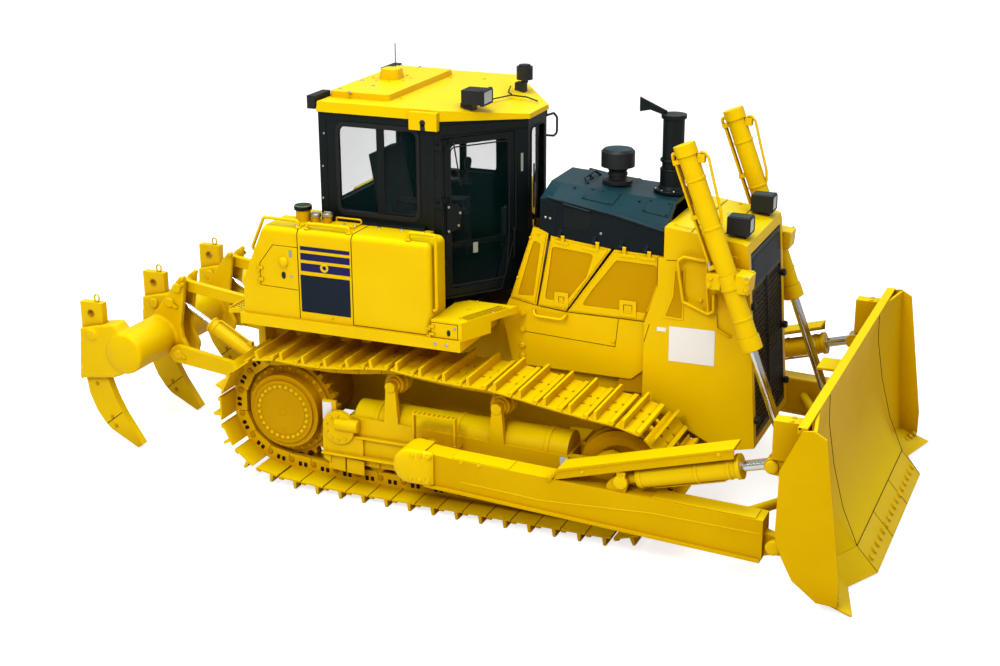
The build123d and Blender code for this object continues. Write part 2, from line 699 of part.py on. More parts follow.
# Roof: a thick lid that slopes down to the front, with a raised rear cover
roof_over = 20
cover_high = 50
cover_x = -920
dome_place = (-960, 60)
dome_high = 85
whip_place = (-1010, 240)
roof_side = [(cab_rear_x - roof_over, cab_eave_z + seat), (cab_corner_x, cab_eave_z + seat),
             (cab_front_x + roof_over, eave_height(cab_front_x + roof_over) + seat),
             (cab_front_x + roof_over, roof_brow_z), (cab_corner_x, roof_top_z), (cab_rear_x - roof_over, roof_top_z)]
with BuildPart() as cab_roof:
    side_plate(roof_side, -cab_half - roof_over, 2 * cab_half + 2 * roof_over)
    with BuildSketch(Plane.XY.offset(cab_brow_z - 15)) as roof_plan:
        with BuildLine():
            Polyline(*cab_plan, close=True)
        make_face()
        offset(amount=roof_over, kind=Kind.INTERSECTION, mode=Mode.REPLACE)
    extrude(roof_plan.sketch, amount=roof_top_z - cab_brow_z + 30, taper=6, mode=Mode.INTERSECT)
    with BuildSketch(Plane.XY.offset(roof_top_z)) as cover_plan:
        with Locations((cover_x, 0)):
            RectangleRounded(560, 1300, 40)
    extrude(cover_plan.sketch, amount=cover_high, taper=8)
    with BuildSketch(Plane.XY.offset(roof_top_z + cover_high)) as dome_plan:
        with Locations(dome_place):
            RectangleRounded(190, 190, 60)
    extrude(dome_plan.sketch, amount=dome_high, taper=10)
    # blocks over the corner posts, notched in their lower edge
    side_plate([(-347, 3170), (-236, 3170), (-236, 3200), (-202, 3200), (-202, 3170), (-100, 3170), (-100, 3317),
                (-347, 3317)], cab_half + seat, 55)
    side_plate([(-347, 3170), (-236, 3170), (-236, 3200), (-202, 3200), (-202, 3170), (-100, 3170), (-100, 3317),
                (-347, 3317)], -cab_half - seat - 55, 55)
save(cab_roof, "cab_roof")


def roof_height(x):
    """Height of the roof's sloping front part at x."""
    return roof_top_z + (roof_brow_z - roof_top_z) * (x - cab_corner_x) / (cab_front_x + roof_over - cab_corner_x)


# Lamps on the roof: one in front on the right, and one behind on each side
with BuildPart() as roof_lamps:
    side_plate([(-25, roof_height(-25) + seat), (81, roof_height(81) + seat), (81, 3353), (-25, 3353)], 500, 100)
    block(0, 170, -640, -460, 3352, 3466)
    block(170, 196, -650, -450, 3345, 3473)
    for side in (-1, 1):
        block(-1310, -1236, side * 690 - 140, side * 690 + 140, 3257, 3366)
        block(-1237, cab_rear_x - 11.3, side * 690 - 40, side * 690 + 40, 3259, 3300)
save(roof_lamps, "roof_lamps")

# Antennas: a round one on its bracket at the front, and a whip on the raised cover
with BuildPart() as antennas:
    side_plate([(72, roof_height(72) + seat), (156, roof_height(156) + seat), (156, 3362), (72, 3362)], -420, 80)
    upright(148, 380, 30, 3361, 3390)
    upright(148, 380, 70, 3389, 3500)
    upright(148, 380, 50, 3499, 3515)
    upright(whip_place[0], whip_place[1], 12, roof_top_z + cover_high + seat, roof_top_z + cover_high + 40)
    upright(whip_place[0], whip_place[1], 4, roof_top_z + cover_high + 39, roof_top_z + cover_high + 270)
save(antennas, "antennas")

# Seat and console inside the cab
with BuildPart() as driver_seat:
    block(-960, -900, -170, 170, cab_floor_z + 20 + seat, cab_floor_z + 300)
    block(-960, -500, -250, 250, cab_floor_z + 300, cab_floor_z + 440)
    side_plate([(-960, cab_floor_z + 440), (-1060, 2760), (-960, 2780), (-830, cab_floor_z + 440)], -230, 460)
save(driver_seat, "driver_seat")

with BuildPart() as console:
    side_plate([(150, cab_floor_z + 20 + seat), (150, 2380), (300, 2420), (330, cab_floor_z + 20 + seat)], -160, 320)
    side_plate([(-760, cab_floor_z + 20 + seat), (-760, 2260), (-420, 2280), (-400, cab_floor_z + 20 + seat)], 330, 150)
    side_plate([(-760, cab_floor_z + 20 + seat), (-760, 2260), (-420, 2280), (-400, cab_floor_z + 20 + seat)], -480, 150)
save(console, "console")

# Hood over the engine, sloping down to the radiator guard
hood_wall = 30
# sections: x, lower edge, side crease, crown
hood_sections = [(640, 2345, 2600, 2690), (740, 2302, 2612, 2682), (1270, 2242, 2525, 2638), (1715 - seat, 2230, 2423, 2612)]


def hood_outline(low, crease, crown, inset):
    """Corners (y, z) of the hood's cross-section, moved in by inset, open at the bottom."""
    return [(-hood_half + inset, low), (-hood_half + inset, crease - inset * 0.6), (-250, crown - inset),
            (250, crown - inset), (hood_half - inset, crease - inset * 0.6), (hood_half - inset, low)]


# the engine doors hang on one straight line just outside the hood's lower edge: (x, z) start and end
hinge_line = ((740, 2308), (1712, 2238))
door_hinge_y = hood_half + 12
door_hinge_radius = 9
tab_length = 30


def on_hinge(x):
    """Height of the hinge line at x."""
    (x0, z0), (x1, z1) = hinge_line
    return z0 + (z1 - z0) * (x - x0) / (x1 - x0)


def hinge_section(x, points, thick, radius, mode=Mode.ADD):
    """A piece across the hinge line from x onwards: (distance from the middle, drop below the line) corners."""
    (x0, z0), (x1, z1) = hinge_line
    plane = Plane(origin=(x, 0, on_hinge(x)), x_dir=(0, -1, 0), z_dir=(x1 - x0, 0, z1 - z0))
    with BuildSketch(plane) as outline:
        with Locations((door_hinge_y, 0)):
            Circle(radius)
        if points:
            with BuildLine():
                Polyline(*points, close=True)
            make_face()
    extrude(outline.sketch, amount=thick, mode=mode)


# x of each door's knuckles
mid_tabs = [830, 1130]
front_tabs = [1360, 1570]

with BuildPart() as hood:
    for inset, mode in ((0, Mode.ADD), (hood_wall, Mode.SUBTRACT)):
        sections = []
        for x, low, crease, crown in hood_sections:
            with BuildSketch(Plane.YZ.offset(x)) as section:
                with BuildLine():
                    Polyline(*hood_outline(low, crease, crown, inset), close=True)
                make_face()
            sections.append(section.sketch)
        loft(sections, ruled=True, mode=mode)
    # rear end plate of the hood
    cross_plate(hood_outline(*hood_sections[0][1:], 0), hood_sections[0][0], hood_wall)
    # hood halves of the door hinges, with the pins
    with BuildPart(mode=Mode.PRIVATE) as hood_tabs:
        for x in mid_tabs + front_tabs:
            hinge_section(x - tab_length - 1, [(517, -50), (526, -50), (540, 0), (524, 0), (517, -12)], tab_length,
                          door_hinge_radius)
            hinge_section(x - 2, [], tab_length + 2, door_hinge_radius / 2)
    add(hood_tabs.part)
    mirror(hood_tabs.part, about=Plane.XZ)
save(hood, "hood")

# Radiator guard: side plates, crowned top and front frame round the grille
guard_wall = 40
guard_outline = [(1560 + seat, 1000), (1565, 1660), (1670, 1990), (1670, 2222), (1715, 2222), (1715, 2480), (2340, 2405),
                 (2385, 2387), (2400, 2334), (2520, 700), (2250, 640), (1700, 900)]
grille_bottom, grille_top = (2518, 760), (2404, 2300)
grille_half = 488
with BuildPart() as radiator_guard:
    side_plate(guard_outline, 0, guard_half)
    # hollow behind the grille, and the open rear towards the engine
    side_plate([(1500, 1140 + 2 * seat), (1500, 2200), (1740, 2200), (1740, 2440), (2320, 2360), (2480, 760),
                (2260, 700), (1800, 1000), (1800, 1140 + 2 * seat)], 0, guard_half - guard_wall, mode=Mode.SUBTRACT)
    side_plate([(2300, 2310), (2600, 2310), (2600, 760), (2440, 760)], 0, grille_half, mode=Mode.SUBTRACT)
    # bosses with the bores for the yokes' shafts
    side_disc(lift_pivot[0], lift_pivot[1], 72, guard_half, 28)
    side_disc(lift_pivot[0], lift_pivot[1], yoke_shaft_radius + pin_play, guard_half - guard_wall - 1, 70,
              mode=Mode.SUBTRACT)
    mirror(about=Plane.XZ)
save(radiator_guard, "radiator_guard")

# Grille: frame, centre bar and slanted slats
slat_count = 26
grille_lean = atan2(grille_bottom[0] - grille_top[0], grille_top[1] - grille_bottom[1])
grille_plane = Plane(origin=(grille_bottom[0] - 30, 0, grille_bottom[1] + 4), x_dir=(0, 1, 0),
                     z_dir=(cos(grille_lean), 0, sin(grille_lean)))
grille_height = length(grille_bottom, grille_top) - 12
blank_height = 300
with BuildPart() as grille:
    with BuildSketch(grille_plane) as grille_frame:
        with Locations((0, grille_height / 2)):
            Rectangle(2 * grille_half - 2 * seat, grille_height)
        for side in (-1, 1):
            with Locations((side * grille_half / 2, (grille_height - blank_height) / 2 + 20)):
                Rectangle(grille_half - 50, grille_height - blank_height - 60, mode=Mode.SUBTRACT)
    extrude(amount=26)
    with BuildSketch(grille_plane.offset(4)) as slats:
        for side in (-1, 1):
            for k in range(slat_count):
                low = 60 + (grille_height - blank_height - 110) * k / slat_count
                with BuildLine():
                    Polyline((side * 20, low), (side * (grille_half - 20), low + 12), (side * (grille_half - 20), low + 30),
                             (side * 20, low + 18), close=True)
                make_face()
    extrude(amount=16)
save(grille, "grille")

# Lower side panels between hull and engine doors
with BuildPart() as side_panels:
    side_plate([(400, 1140 + seat), (1450, 1140 + seat), (1561.7, 1240), (1564.6, 1650), (877, 1650), (610, 1675),
                (372, 1718), (305, 1560)], hood_half - 30, 30)
    mirror(about=Plane.XZ)
save(side_panels, "side_panels")

# Fixed corner panels behind the engine doors
panel_thick = 30
with BuildPart() as corner_panels:
    side_plate([(379, 1725), (611, 1682), (715, 2312.4), (655, 2338.2), (580, 2348)], hood_half - panel_thick, panel_thick)
    mirror(about=Plane.XZ)
save(corner_panels, "corner_panels")

# Engine side doors, hung along the hood's lower edge: name, x of the knuckles, outline of (x, z)
door_panels = [
    ("engine_door_mid", mid_tabs, [(627, 1684), (873, 1662), (1258, 2236), (737, 2294)]),
    ("engine_door_front", front_tabs, [(889, 1660), (1555, 1660), (1662, 1990), (1662, 2224), (1284, 2234)]),
]
for name, tabs, corners in door_panels:
    with BuildPart() as engine_door:
        side_plate(corners, hood_half - panel_thick, panel_thick)
        for x in tabs:
            hinge_section(x, [(517, 76), (528, 76), (540, 0), (524, 0), (524, 36), (517, 44)], tab_length,
                          door_hinge_radius)
            hinge_section(x - 1, [], tab_length + 2, door_hinge_radius / 2 + hinge_play, mode=Mode.SUBTRACT)
    save(engine_door, name + "_right")
    with BuildPart() as engine_door_mirrored:
        mirror(engine_door.part, about=Plane.XZ)
    save(engine_door_mirrored, name + "_left")

# Exhaust stack with its flange and rain cap, and the pre-cleaner
stack_x, precleaner_x = 1600, 1130
stack_radius = 88
with BuildPart() as exhaust_stack:
    # flange, lower sleeve, pipe and rain cap: radius and ends
    for radius, z0, z1 in ((150, 2627.7, 2650), (stack_radius + 14, 2640, 2811), (stack_radius, 2811, 3251),
                           (stack_radius + 16, 3251, 3269)):
        upright(stack_x, 0, radius, z0, z1)
    # the cap's counterweight flag
    side_plate([(stack_x - 60, 3262), (stack_x - 60, 3290), (stack_x - 290, 3390), (stack_x - 290, 3270),
                (stack_x - 200, 3290), (stack_x - 110, 3262)], -9, 18)
save(exhaust_stack, "exhaust_stack")

with BuildPart() as pre_cleaner:
    with BuildSketch(Plane.XZ) as half_profile:
        with BuildLine():
            Polyline((precleaner_x, 2660.3), (precleaner_x + 125, 2660.3), (precleaner_x + 125, 2686), (precleaner_x + 75, 2700),
                     (precleaner_x + 75, 2760), (precleaner_x + 95, 2790), (precleaner_x + 140, 2800),
                     (precleaner_x + 140, 2925), (precleaner_x + 120, 2945), (precleaner_x, 2945), close=True)
        make_face()
    revolve(half_profile.sketch, axis=Axis((precleaner_x, 0, 0), (0, 0, 1)))
save(pre_cleaner, "pre_cleaner")

# Lift cylinders: a barrel held in a yoke that swings on its shaft in the guard, and the rod
lift_reach = length(lift_pivot, lift_eye)
eye_half = 40               # half the width of a rod's eye
pipe_radius = 11
pipe_spread, pipe_offset = 20, 108
pipe_top, pipe_foot = 100, 130     # from the barrel's top and from the yoke's shaft
with BuildPart() as lift_barrel_right:
    rod_between(lift_pivot, lift_eye, -lift_y, lift_barrel_radius, -lift_barrel_up, lift_barrel_down)
    for begin, finish in ((-lift_barrel_up, 90 - lift_barrel_up), (-60, 60), (lift_barrel_down - 110, lift_barrel_down)):
        rod_between(lift_pivot, lift_eye, -lift_y, lift_barrel_radius + 10, begin, finish)
    x, z = lift_pivot
    side_plate([(x - 170, z - 60), (x + 165, z - 60), (x + 165, z + 70), (x - 170, z + 70)], guard_half + 33, 30)
    side_plate([(x + 60, z - 75), (x + 165, z - 75), (x + 175, z + 60), (x + 60, z + 75)], guard_half + 33, 190)
    side_plate([(x - 170, z - 60), (x - 60, z - 60), (x - 60, z + 75), (x - 170, z + 60)], guard_half + 33, 190)
    side_disc(x, z, yoke_shaft_radius, guard_half - guard_wall + 5, 70)
    # two oil pipes behind the barrel, and the blocks that hold them
    with BuildSketch(line_plane(lift_pivot, lift_eye, -lift_y).offset(pipe_top - lift_barrel_up)) as pipe_pair:
        with Locations((-pipe_spread, -pipe_offset), (pipe_spread, -pipe_offset)):
            Circle(pipe_radius)
    extrude(pipe_pair.sketch, amount=lift_barrel_up - pipe_top - pipe_foot)
    for begin in (pipe_top - lift_barrel_up, (pipe_top - lift_barrel_up - pipe_foot) / 2, -pipe_foot - 34):
        with BuildSketch(line_plane(lift_pivot, lift_eye, -lift_y).offset(begin)) as pipe_block:
            with Locations((0, 12 - pipe_offset)):
                Rectangle(2 * pipe_spread + 30, 56)
        extrude(pipe_block.sketch, amount=34)
    rod_between(lift_pivot, lift_eye, -lift_y, lift_rod_radius + pin_play, 40 - lift_barrel_up, lift_barrel_down,
                mode=Mode.SUBTRACT)
save(lift_barrel_right, "lift_barrel_right")

with BuildPart() as lift_barrel_left:
    mirror(lift_barrel_right.part, about=Plane.XZ)
save(lift_barrel_left, "lift_barrel_left")

with BuildPart() as lift_rod_right:
    rod_between(lift_pivot, lift_eye, -lift_y, lift_rod_radius, -250, lift_reach)
    side_disc(lift_eye[0], lift_eye[1], 62, lift_y - eye_half, 2 * eye_half)
save(lift_rod_right, "lift_rod_right")

with BuildPart() as lift_rod_left:
    mirror(lift_rod_right.part, about=Plane.XZ)
save(lift_rod_left, "lift_rod_left")

# Lamp boxes on the guard's top and lamps on the roof
with BuildPart() as work_lamps:
    for side in (-1, 1):
        block(2190, 2370, side * 375 - 80, side * 375 + 80, 2440, 2580)
        side_plate([(2250, 2416.1), (2340, 2405.3), (2340, 2441), (2250, 2441)], side * 375 - 40, 80)
save(work_lamps, "work_lamps")

# Push beams: box beams with trunnion housings, saddles for the tilt cylinders, guards and braces
brace_y = 560
with BuildPart() as push_beams:
    side_plate([(40, 690), (300, 672), (2860, 578), (2860, 255), (40, 420)], beam_inner, beam_outer - beam_inner)
    side_disc(trunnion_x, trunnion_z, 150, beam_inner - 20, beam_outer - beam_inner + 20)
    side_plate([(trunnion_x, 412), (60, 412), (60, 700), (trunnion_x, 708)], beam_inner - 20,
               beam_outer - beam_inner + 20)
    side_disc(trunnion_x, trunnion_z, trunnion_shaft_radius + pin_play, beam_inner - 21, 185, mode=Mode.SUBTRACT)
    # lower flange
    side_plate([(60, 400), (60, 420), (2850, 257), (2850, 238)], beam_inner - 10, beam_outer - beam_inner + 40)
    # front eye
    side_plate([(2850, 262), (2850, 462), (2960, 430), (2985, 362), (2960, 294)], tilt_y - 45, 90)
    side_disc(beam_pin_x, beam_pin_z, ripper_pin + pin_play, tilt_y - 60, 120, mode=Mode.SUBTRACT)
    # saddle with the tilt cylinder's pin
    for near in (tilt_y - 85, tilt_y + 55):
        link_plate(tilt_pivot, (1690, 640), 62, 80, near, 30)
    side_disc(tilt_pivot[0], tilt_pivot[1], small_pin, tilt_y - 85, 170)
    # guard over the tilt cylinder
    side_plate([(1119, 620), (1212, 737), (1731, 884), (2613, 1132), (2617, 1114), (1731, 864), (1225, 717),
                (1150, 620)], beam_inner + 5, 208)
    side_plate([(1180, 640), (1212, 730), (2613, 1130), (2617, 1048), (1700, 790)], tilt_y + 95, 13)
    # brace to the ball behind the middle of the blade
    with BuildSketch(Plane(origin=(2500, -1410, 440), z_dir=(beam_pin_x - 2500, 1410 - brace_y, beam_pin_z - 440))):
        Circle(42)
    extrude(amount=Vector(beam_pin_x - 2500, 1410 - brace_y, beam_pin_z - 440).length)
    with Locations((beam_pin_x, -brace_y, beam_pin_z)):
        Sphere(55)
    mirror(about=Plane.XZ)
save(push_beams, "push_beams")

# Tilt cylinders between the beams and the blade
tilt_reach = length(tilt_pivot, tilt_eye)
with BuildPart() as tilt_barrel_right:
    side_disc(tilt_pivot[0], tilt_pivot[1], 60, tilt_y - 45, 90)
    rod_between(tilt_pivot, tilt_eye, -tilt_y, 50, 30, 130)
    rod_between(tilt_pivot, tilt_eye, -tilt_y, tilt_barrel_radius, 125, 934)
    rod_between(tilt_pivot, tilt_eye, -tilt_y, tilt_barrel_radius + 12, 934, 966)
    side_disc(tilt_pivot[0], tilt_pivot[1], small_pin + pin_play, tilt_y - 51, 102, mode=Mode.SUBTRACT)
    rod_between(tilt_pivot, tilt_eye, -tilt_y, tilt_rod_radius + pin_play, 150, 967, mode=Mode.SUBTRACT)
save(tilt_barrel_right, "tilt_barrel_right")

with BuildPart() as tilt_barrel_left:
    mirror(tilt_barrel_right.part, about=Plane.XZ)
save(tilt_barrel_left, "tilt_barrel_left")

with BuildPart() as tilt_rod_right:
    rod_between(tilt_pivot, tilt_eye, -tilt_y, tilt_rod_radius, 240, tilt_reach)
    side_disc(tilt_eye[0], tilt_eye[1], 60, tilt_y - eye_half, 2 * eye_half)
save(tilt_rod_right, "tilt_rod_right")

with BuildPart() as tilt_rod_left:
    mirror(tilt_rod_right.part, about=Plane.XZ)
save(tilt_rod_left, "tilt_rod_left")

# Blade: curved moldboard in three stretches each side, ribs, rim and side plates
wing_foot = (3308, 216)
side_foot = (3330, 120)
side_head = (3262, 1430)
# stretches of the moldboard: distance from the middle, foot, head, depth of the curve
blade_sections = [(0, edge_top, moldboard_top, 155), (wing_start, edge_top, moldboard_top, 155),
                  (wing_step, wing_foot, moldboard_top, 70), (blade_half, side_foot, side_head, 18)]


def moldboard_section(y, foot, head, depth):
    """The closed cross-section of the moldboard at y: a concave front face and a parallel back."""
    chord = Vector(head[0] - foot[0], head[1] - foot[1]).normalized()
    back = Vector(-chord.Y, chord.X)
    middle = ((foot[0] + head[0]) / 2 + back.X * depth, (foot[1] + head[1]) / 2 + back.Y * depth)
    corners = [(foot[0] + back.X * moldboard_thick, foot[1] + back.Y * moldboard_thick),
               (middle[0] + back.X * moldboard_thick, middle[1] + back.Y * moldboard_thick),
               (head[0] + back.X * moldboard_thick, head[1] + back.Y * moldboard_thick)]
    with BuildSketch(Plane.XZ.offset(y)) as section:
        with BuildLine():
            ThreePointArc(foot, middle, head)
            Line(head, corners[2])
            ThreePointArc(corners[2], corners[1], corners[0])
            Line(corners[0], foot)
        make_face()
    return section.sketch


side_plate_outline = [(3158, 1429), (3244, 1442), (3340, 1387), (3488, 284), (3486, 78), (3330, 88), (3142, 233),
                      (3050, 413), (2997, 575), (3007, 1099)]
with BuildPart() as blade:
    for first, second in zip(blade_sections, blade_sections[1:]):
        loft([moldboard_section(*first), moldboard_section(*second)], ruled=True)
    side_plate(side_plate_outline, blade_half, 20)
    # rim along the top
    side_plate([(3118, 1400), (3118, 1450), (3192, 1450), (3192, 1434), (3162, 1400)], 0, blade_half)
    # lower box behind the moldboard, narrower in front beyond the straight middle
    side_plate([(3440, 200), (3380, 130), (3060, 250), (3010, 420), (3010, 760), (3060, 850), (3148, 850),
                (3180, 700), (3245, 560), (3372, 330)], 0, wing_start)
    side_plate([(3300, 230), (3060, 250), (3010, 420), (3010, 760), (3060, 850), (3148, 850), (3190, 560)],
               wing_start - 5, 230)
    # ribs behind the upper half
    for y in (150, 560, 860, 1150):
        side_plate([(3060, 845), (3146, 845), (3132, 1000), (3128, 1100), (3130, 1400), (3118, 1400), (3060, 1050)],
                   y, 25)
    # guard hoods behind the top edge: (inner side, inner wall, outer side, outer wall, front, top) of each
    for inner, inner_wall, outer, outer_wall, front, top in ((0, 0, 130, 0, 3140, 1310), (1475, 20, 1605, 20, 3160, 1400)):
        block(2900, front, -outer, -inner, top - 310, top)
        block(2900, front - 22, outer_wall - outer, -inner - inner_wall, top - 310, top - 20, mode=Mode.SUBTRACT)
    # ears for the beam's pin
    for near in (tilt_y - 78, tilt_y + 48):
        link_plate((beam_pin_x, beam_pin_z), (3190, 370), 58, 72, near, 30)
    side_disc(beam_pin_x, beam_pin_z, ripper_pin, tilt_y - 78, 156)
    # ears for the tilt cylinder's eye
    link_plate(tilt_eye, (3080, 1010), 62, 75, tilt_y - 78, 28)
    link_plate(tilt_eye, (3125, 1010), 62, 75, tilt_y + 50, 28)
    # ears for the lift cylinder's eye
    for near in (lift_y - 80, lift_y + 50):
        link_plate(lift_eye, (2995, 600), 60, 95, near, 30)
    # socket plates above and below the brace's ball
    for z in (beam_pin_z - 80, beam_pin_z + 60):
        plan_plate([(2880, -620), (3060, -640), (3060, -490), (2880, -510)], z, 20)
    mirror(about=Plane.XZ)
save(blade, "blade")

# Cutting edges: straight in the middle, running back on the wings, with forward end bits
# sections: distance from the middle, foot of the moldboard, its head, tip of the edge
edge_sections = [(0, edge_top, moldboard_top, edge_tip), (wing_start, edge_top, moldboard_top, edge_tip),
                 (wing_step, wing_foot, moldboard_top, (3482, 28)), (blade_half - 1, side_foot, side_head, (3604, 21))]


def edge_section(y, foot, head, tip):
    """The cutting edge's cross-section at y, a sloping bar under the moldboard's foot."""
    chord = Vector(head[0] - foot[0], head[1] - foot[1]).normalized()
    back = Vector(-chord.Y, chord.X)
    with BuildSketch(Plane.XZ.offset(y)) as section:
        with BuildLine():
            Polyline((foot[0] - chord.X, foot[1] - chord.Y), tip, (tip[0] - 22, tip[1] - 6),
                     (foot[0] - chord.X + back.X * moldboard_thick, foot[1] - chord.Y + back.Y * moldboard_thick),
                     close=True)
        make_face()
    return section.sketch


with BuildPart() as cutting_edges:
    for first, second in zip(edge_sections, edge_sections[1:]):
        loft([edge_section(*first), edge_section(*second)], ruled=True)
    mirror(about=Plane.XZ)
save(cutting_edges, "cutting_edges")

# Ripper: lower and upper arms in parallel, beam with three shanks, and the cylinders
with BuildPart() as ripper_lower_arms:
    link_plate(lower_front, lower_rear, 62, 82, lower_arm_inner, lower_arm_thick)
    for x, z in (lower_front, lower_rear):
        side_disc(x, z, ripper_pin + pin_play, lower_arm_inner - 1, lower_arm_thick + 2, mode=Mode.SUBTRACT)
    mirror(about=Plane.XZ)
save(ripper_lower_arms, "ripper_lower_arms")

with BuildPart() as ripper_upper_arms:
    link_plate(upper_front, upper_rear, 48, 48, upper_arm_inner, upper_arm_thick)
    for x, z in (upper_front, upper_rear):
        side_disc(x, z, small_pin + pin_play, upper_arm_inner - 1, upper_arm_thick + 2, mode=Mode.SUBTRACT)
    mirror(about=Plane.XZ)
save(ripper_upper_arms, "ripper_upper_arms")

shank_rear_x, shank_front_x = -3613, -3383
pocket_outline = [(-3646, 624), (-3601, 1125), (-3456, 1163), (-3238, 1200), (-3171, 1114), (-3140, 760),
                  (-3205, 715), (-3287, 686), (-3607, 641)]
bracket_outline = [(-3221, 1090), (-3064, 1290), (-2904, 1502), (-2835, 1545), (-2825, 1487), (-2847, 1317),
                   (-2894, 1045), (-2881, 949), (-2825, 830), (-2860, 735), (-2960, 730), (-3100, 900)]
with BuildPart() as ripper_beam:
    side_disc(beam_tube_centre[0], beam_tube_centre[1], beam_tube_radius, -beam_tube_half, 2 * beam_tube_half)
    for y in shank_y:
        side_plate(pocket_outline, -y - 95, 190)
    for y in shank_y:
        block(shank_rear_x - 2, shank_front_x + seat, y - shank_half - 3, y + shank_half + 3, 500, 1300,
              mode=Mode.SUBTRACT)
    # heads of the pins that hold the shanks
    side_disc(-3475, 1079, 48, 1090, 25)
    with BuildPart(mode=Mode.PRIVATE) as bracket:
        side_plate(bracket_outline, 480, 60)
        side_plate(bracket_outline, 300, 45)
        side_disc(-2850, 1520, 28, 540, 14)
        side_disc(-2850, 1520, 28, 286, 14)
        side_disc(lower_rear[0], lower_rear[1], ripper_pin, 480, lower_arm_inner + lower_arm_thick - 480)
        side_disc(upper_rear[0], upper_rear[1], small_pin, 300, 252)
        side_disc(ripper_rod_pin[0], ripper_rod_pin[1], small_pin, 530, 22)
    add(bracket.part)
    mirror(bracket.part, about=Plane.XZ)
save(ripper_beam, "ripper_beam")

shank_outline = [(shank_rear_x, 1364), (shank_front_x, 1364), (shank_front_x, 660), (-3350, 560), (-3305, 450),
                 (-3232, 308), (-3060, 47), (-3107, 9), (-3389, 155), (-3450, 215), (-3527, 324), (-3590, 470),
                 (shank_rear_x, 620)]
with BuildPart() as ripper_shanks:
    for y in shank_y:
        side_plate(shank_outline, -y - shank_half, 2 * shank_half)
        side_disc(-3505, 1262, 30, -y - shank_half - 1, 2 * shank_half + 2, mode=Mode.SUBTRACT)
save(ripper_shanks, "ripper_shanks")

ripper_reach = length(ripper_base, ripper_rod_pin)
with BuildPart() as ripper_barrels:
    side_disc(ripper_base[0], ripper_base[1], 55, ripper_cylinder_y - eye_half, 2 * eye_half)
    rod_between(ripper_base, ripper_rod_pin, -ripper_cylinder_y, 37, 20, 80)
    rod_between(ripper_base, ripper_rod_pin, -ripper_cylinder_y, 70, 70, 573)
    side_disc(ripper_base[0], ripper_base[1], small_pin + pin_play, ripper_cylinder_y - eye_half - 1,
              2 * eye_half + 2, mode=Mode.SUBTRACT)
    rod_between(ripper_base, ripper_rod_pin, -ripper_cylinder_y, 30 + pin_play, 110, 574, mode=Mode.SUBTRACT)
    mirror(about=Plane.XZ)
save(ripper_barrels, "ripper_barrels")

with BuildPart() as ripper_rods:
    rod_between(ripper_base, ripper_rod_pin, -ripper_cylinder_y, 30, 300, ripper_reach)
    side_disc(ripper_rod_pin[0], ripper_rod_pin[1], 48, ripper_cylinder_y - eye_half + 2, 2 * eye_half - 4)
    mirror(about=Plane.XZ)
save(ripper_rods, "ripper_rods")

# Handrails on the right tank
rail_radius = 14
rail_y = 50 - tank_half
rail_foot_z = tank_top_z + seat
with BuildPart() as handrails:
    tube_along([(-1655.9, rail_y, 2090.1), (-1697, rail_y, 2108), (-1570, rail_y, 2390), (-1245, rail_y, 2390),
                (-1245, rail_y, rail_foot_z)], rail_radius, 25)
    tube_along([(-1164, rail_y, rail_foot_z), (-1164, rail_y, 2375), (-775, rail_y, 2375),
                (-775, rail_y, rail_foot_z)], rail_radius, 25)
    tube_along([(-238, rail_y, rail_foot_z), (-238, rail_y, 2392), (2, rail_y, 2392), (2, rail_y, 1760),
                (-29.7, rail_y, 1760)], rail_radius, 25)
save(handrails, "handrails")

# Rails beside the radiator guard, with both ends on its sides
guard_rail_y = guard_half + 52
guard_rail_radius = 13
guard_rail_foot = guard_half + seat
with BuildPart() as guard_rails:
    tube_along([(2148, -guard_rail_foot, 1970), (2148, -guard_rail_y, 1970), (2153, -guard_rail_y, 1843),
                (2107, -guard_rail_y, 1814), (1900, -guard_rail_y, 1893), (1861, -guard_rail_y, 2111),
                (1849, -guard_rail_y, 2229), (1895, -guard_rail_y, 2265), (2085, -guard_rail_y, 2248),
                (2085, -guard_rail_foot, 2248)], guard_rail_radius, 22)
    mirror(about=Plane.XZ)
save(guard_rails, "guard_rails")
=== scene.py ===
"""Looks of the crawler bulldozer: finishes, small fittings, light and camera.

Metres, in the part's own frame: X forwards to the blade, Y to the machine's left, Z up.
"""

from math import asin, atan2, cos, hypot, pi, radians, sin

import bmesh
import bpy
from mathutils import Matrix, Vector


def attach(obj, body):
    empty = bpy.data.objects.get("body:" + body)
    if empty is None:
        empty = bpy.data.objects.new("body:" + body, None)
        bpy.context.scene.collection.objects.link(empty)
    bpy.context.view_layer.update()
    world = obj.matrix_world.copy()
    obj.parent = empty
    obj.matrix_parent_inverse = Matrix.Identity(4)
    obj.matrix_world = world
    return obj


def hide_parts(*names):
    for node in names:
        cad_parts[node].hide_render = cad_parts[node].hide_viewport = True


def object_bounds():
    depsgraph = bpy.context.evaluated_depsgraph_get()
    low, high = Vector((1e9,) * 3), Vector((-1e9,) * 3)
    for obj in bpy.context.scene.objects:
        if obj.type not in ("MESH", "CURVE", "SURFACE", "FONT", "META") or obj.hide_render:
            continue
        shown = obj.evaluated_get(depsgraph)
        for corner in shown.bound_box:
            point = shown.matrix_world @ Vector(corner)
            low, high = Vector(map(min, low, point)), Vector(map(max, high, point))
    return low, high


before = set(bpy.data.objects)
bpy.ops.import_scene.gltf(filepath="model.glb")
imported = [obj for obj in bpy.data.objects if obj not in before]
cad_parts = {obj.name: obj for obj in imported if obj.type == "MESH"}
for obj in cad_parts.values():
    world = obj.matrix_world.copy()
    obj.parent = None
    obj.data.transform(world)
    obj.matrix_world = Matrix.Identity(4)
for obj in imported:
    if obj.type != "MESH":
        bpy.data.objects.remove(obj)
scene = bpy.context.scene
cad_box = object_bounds()

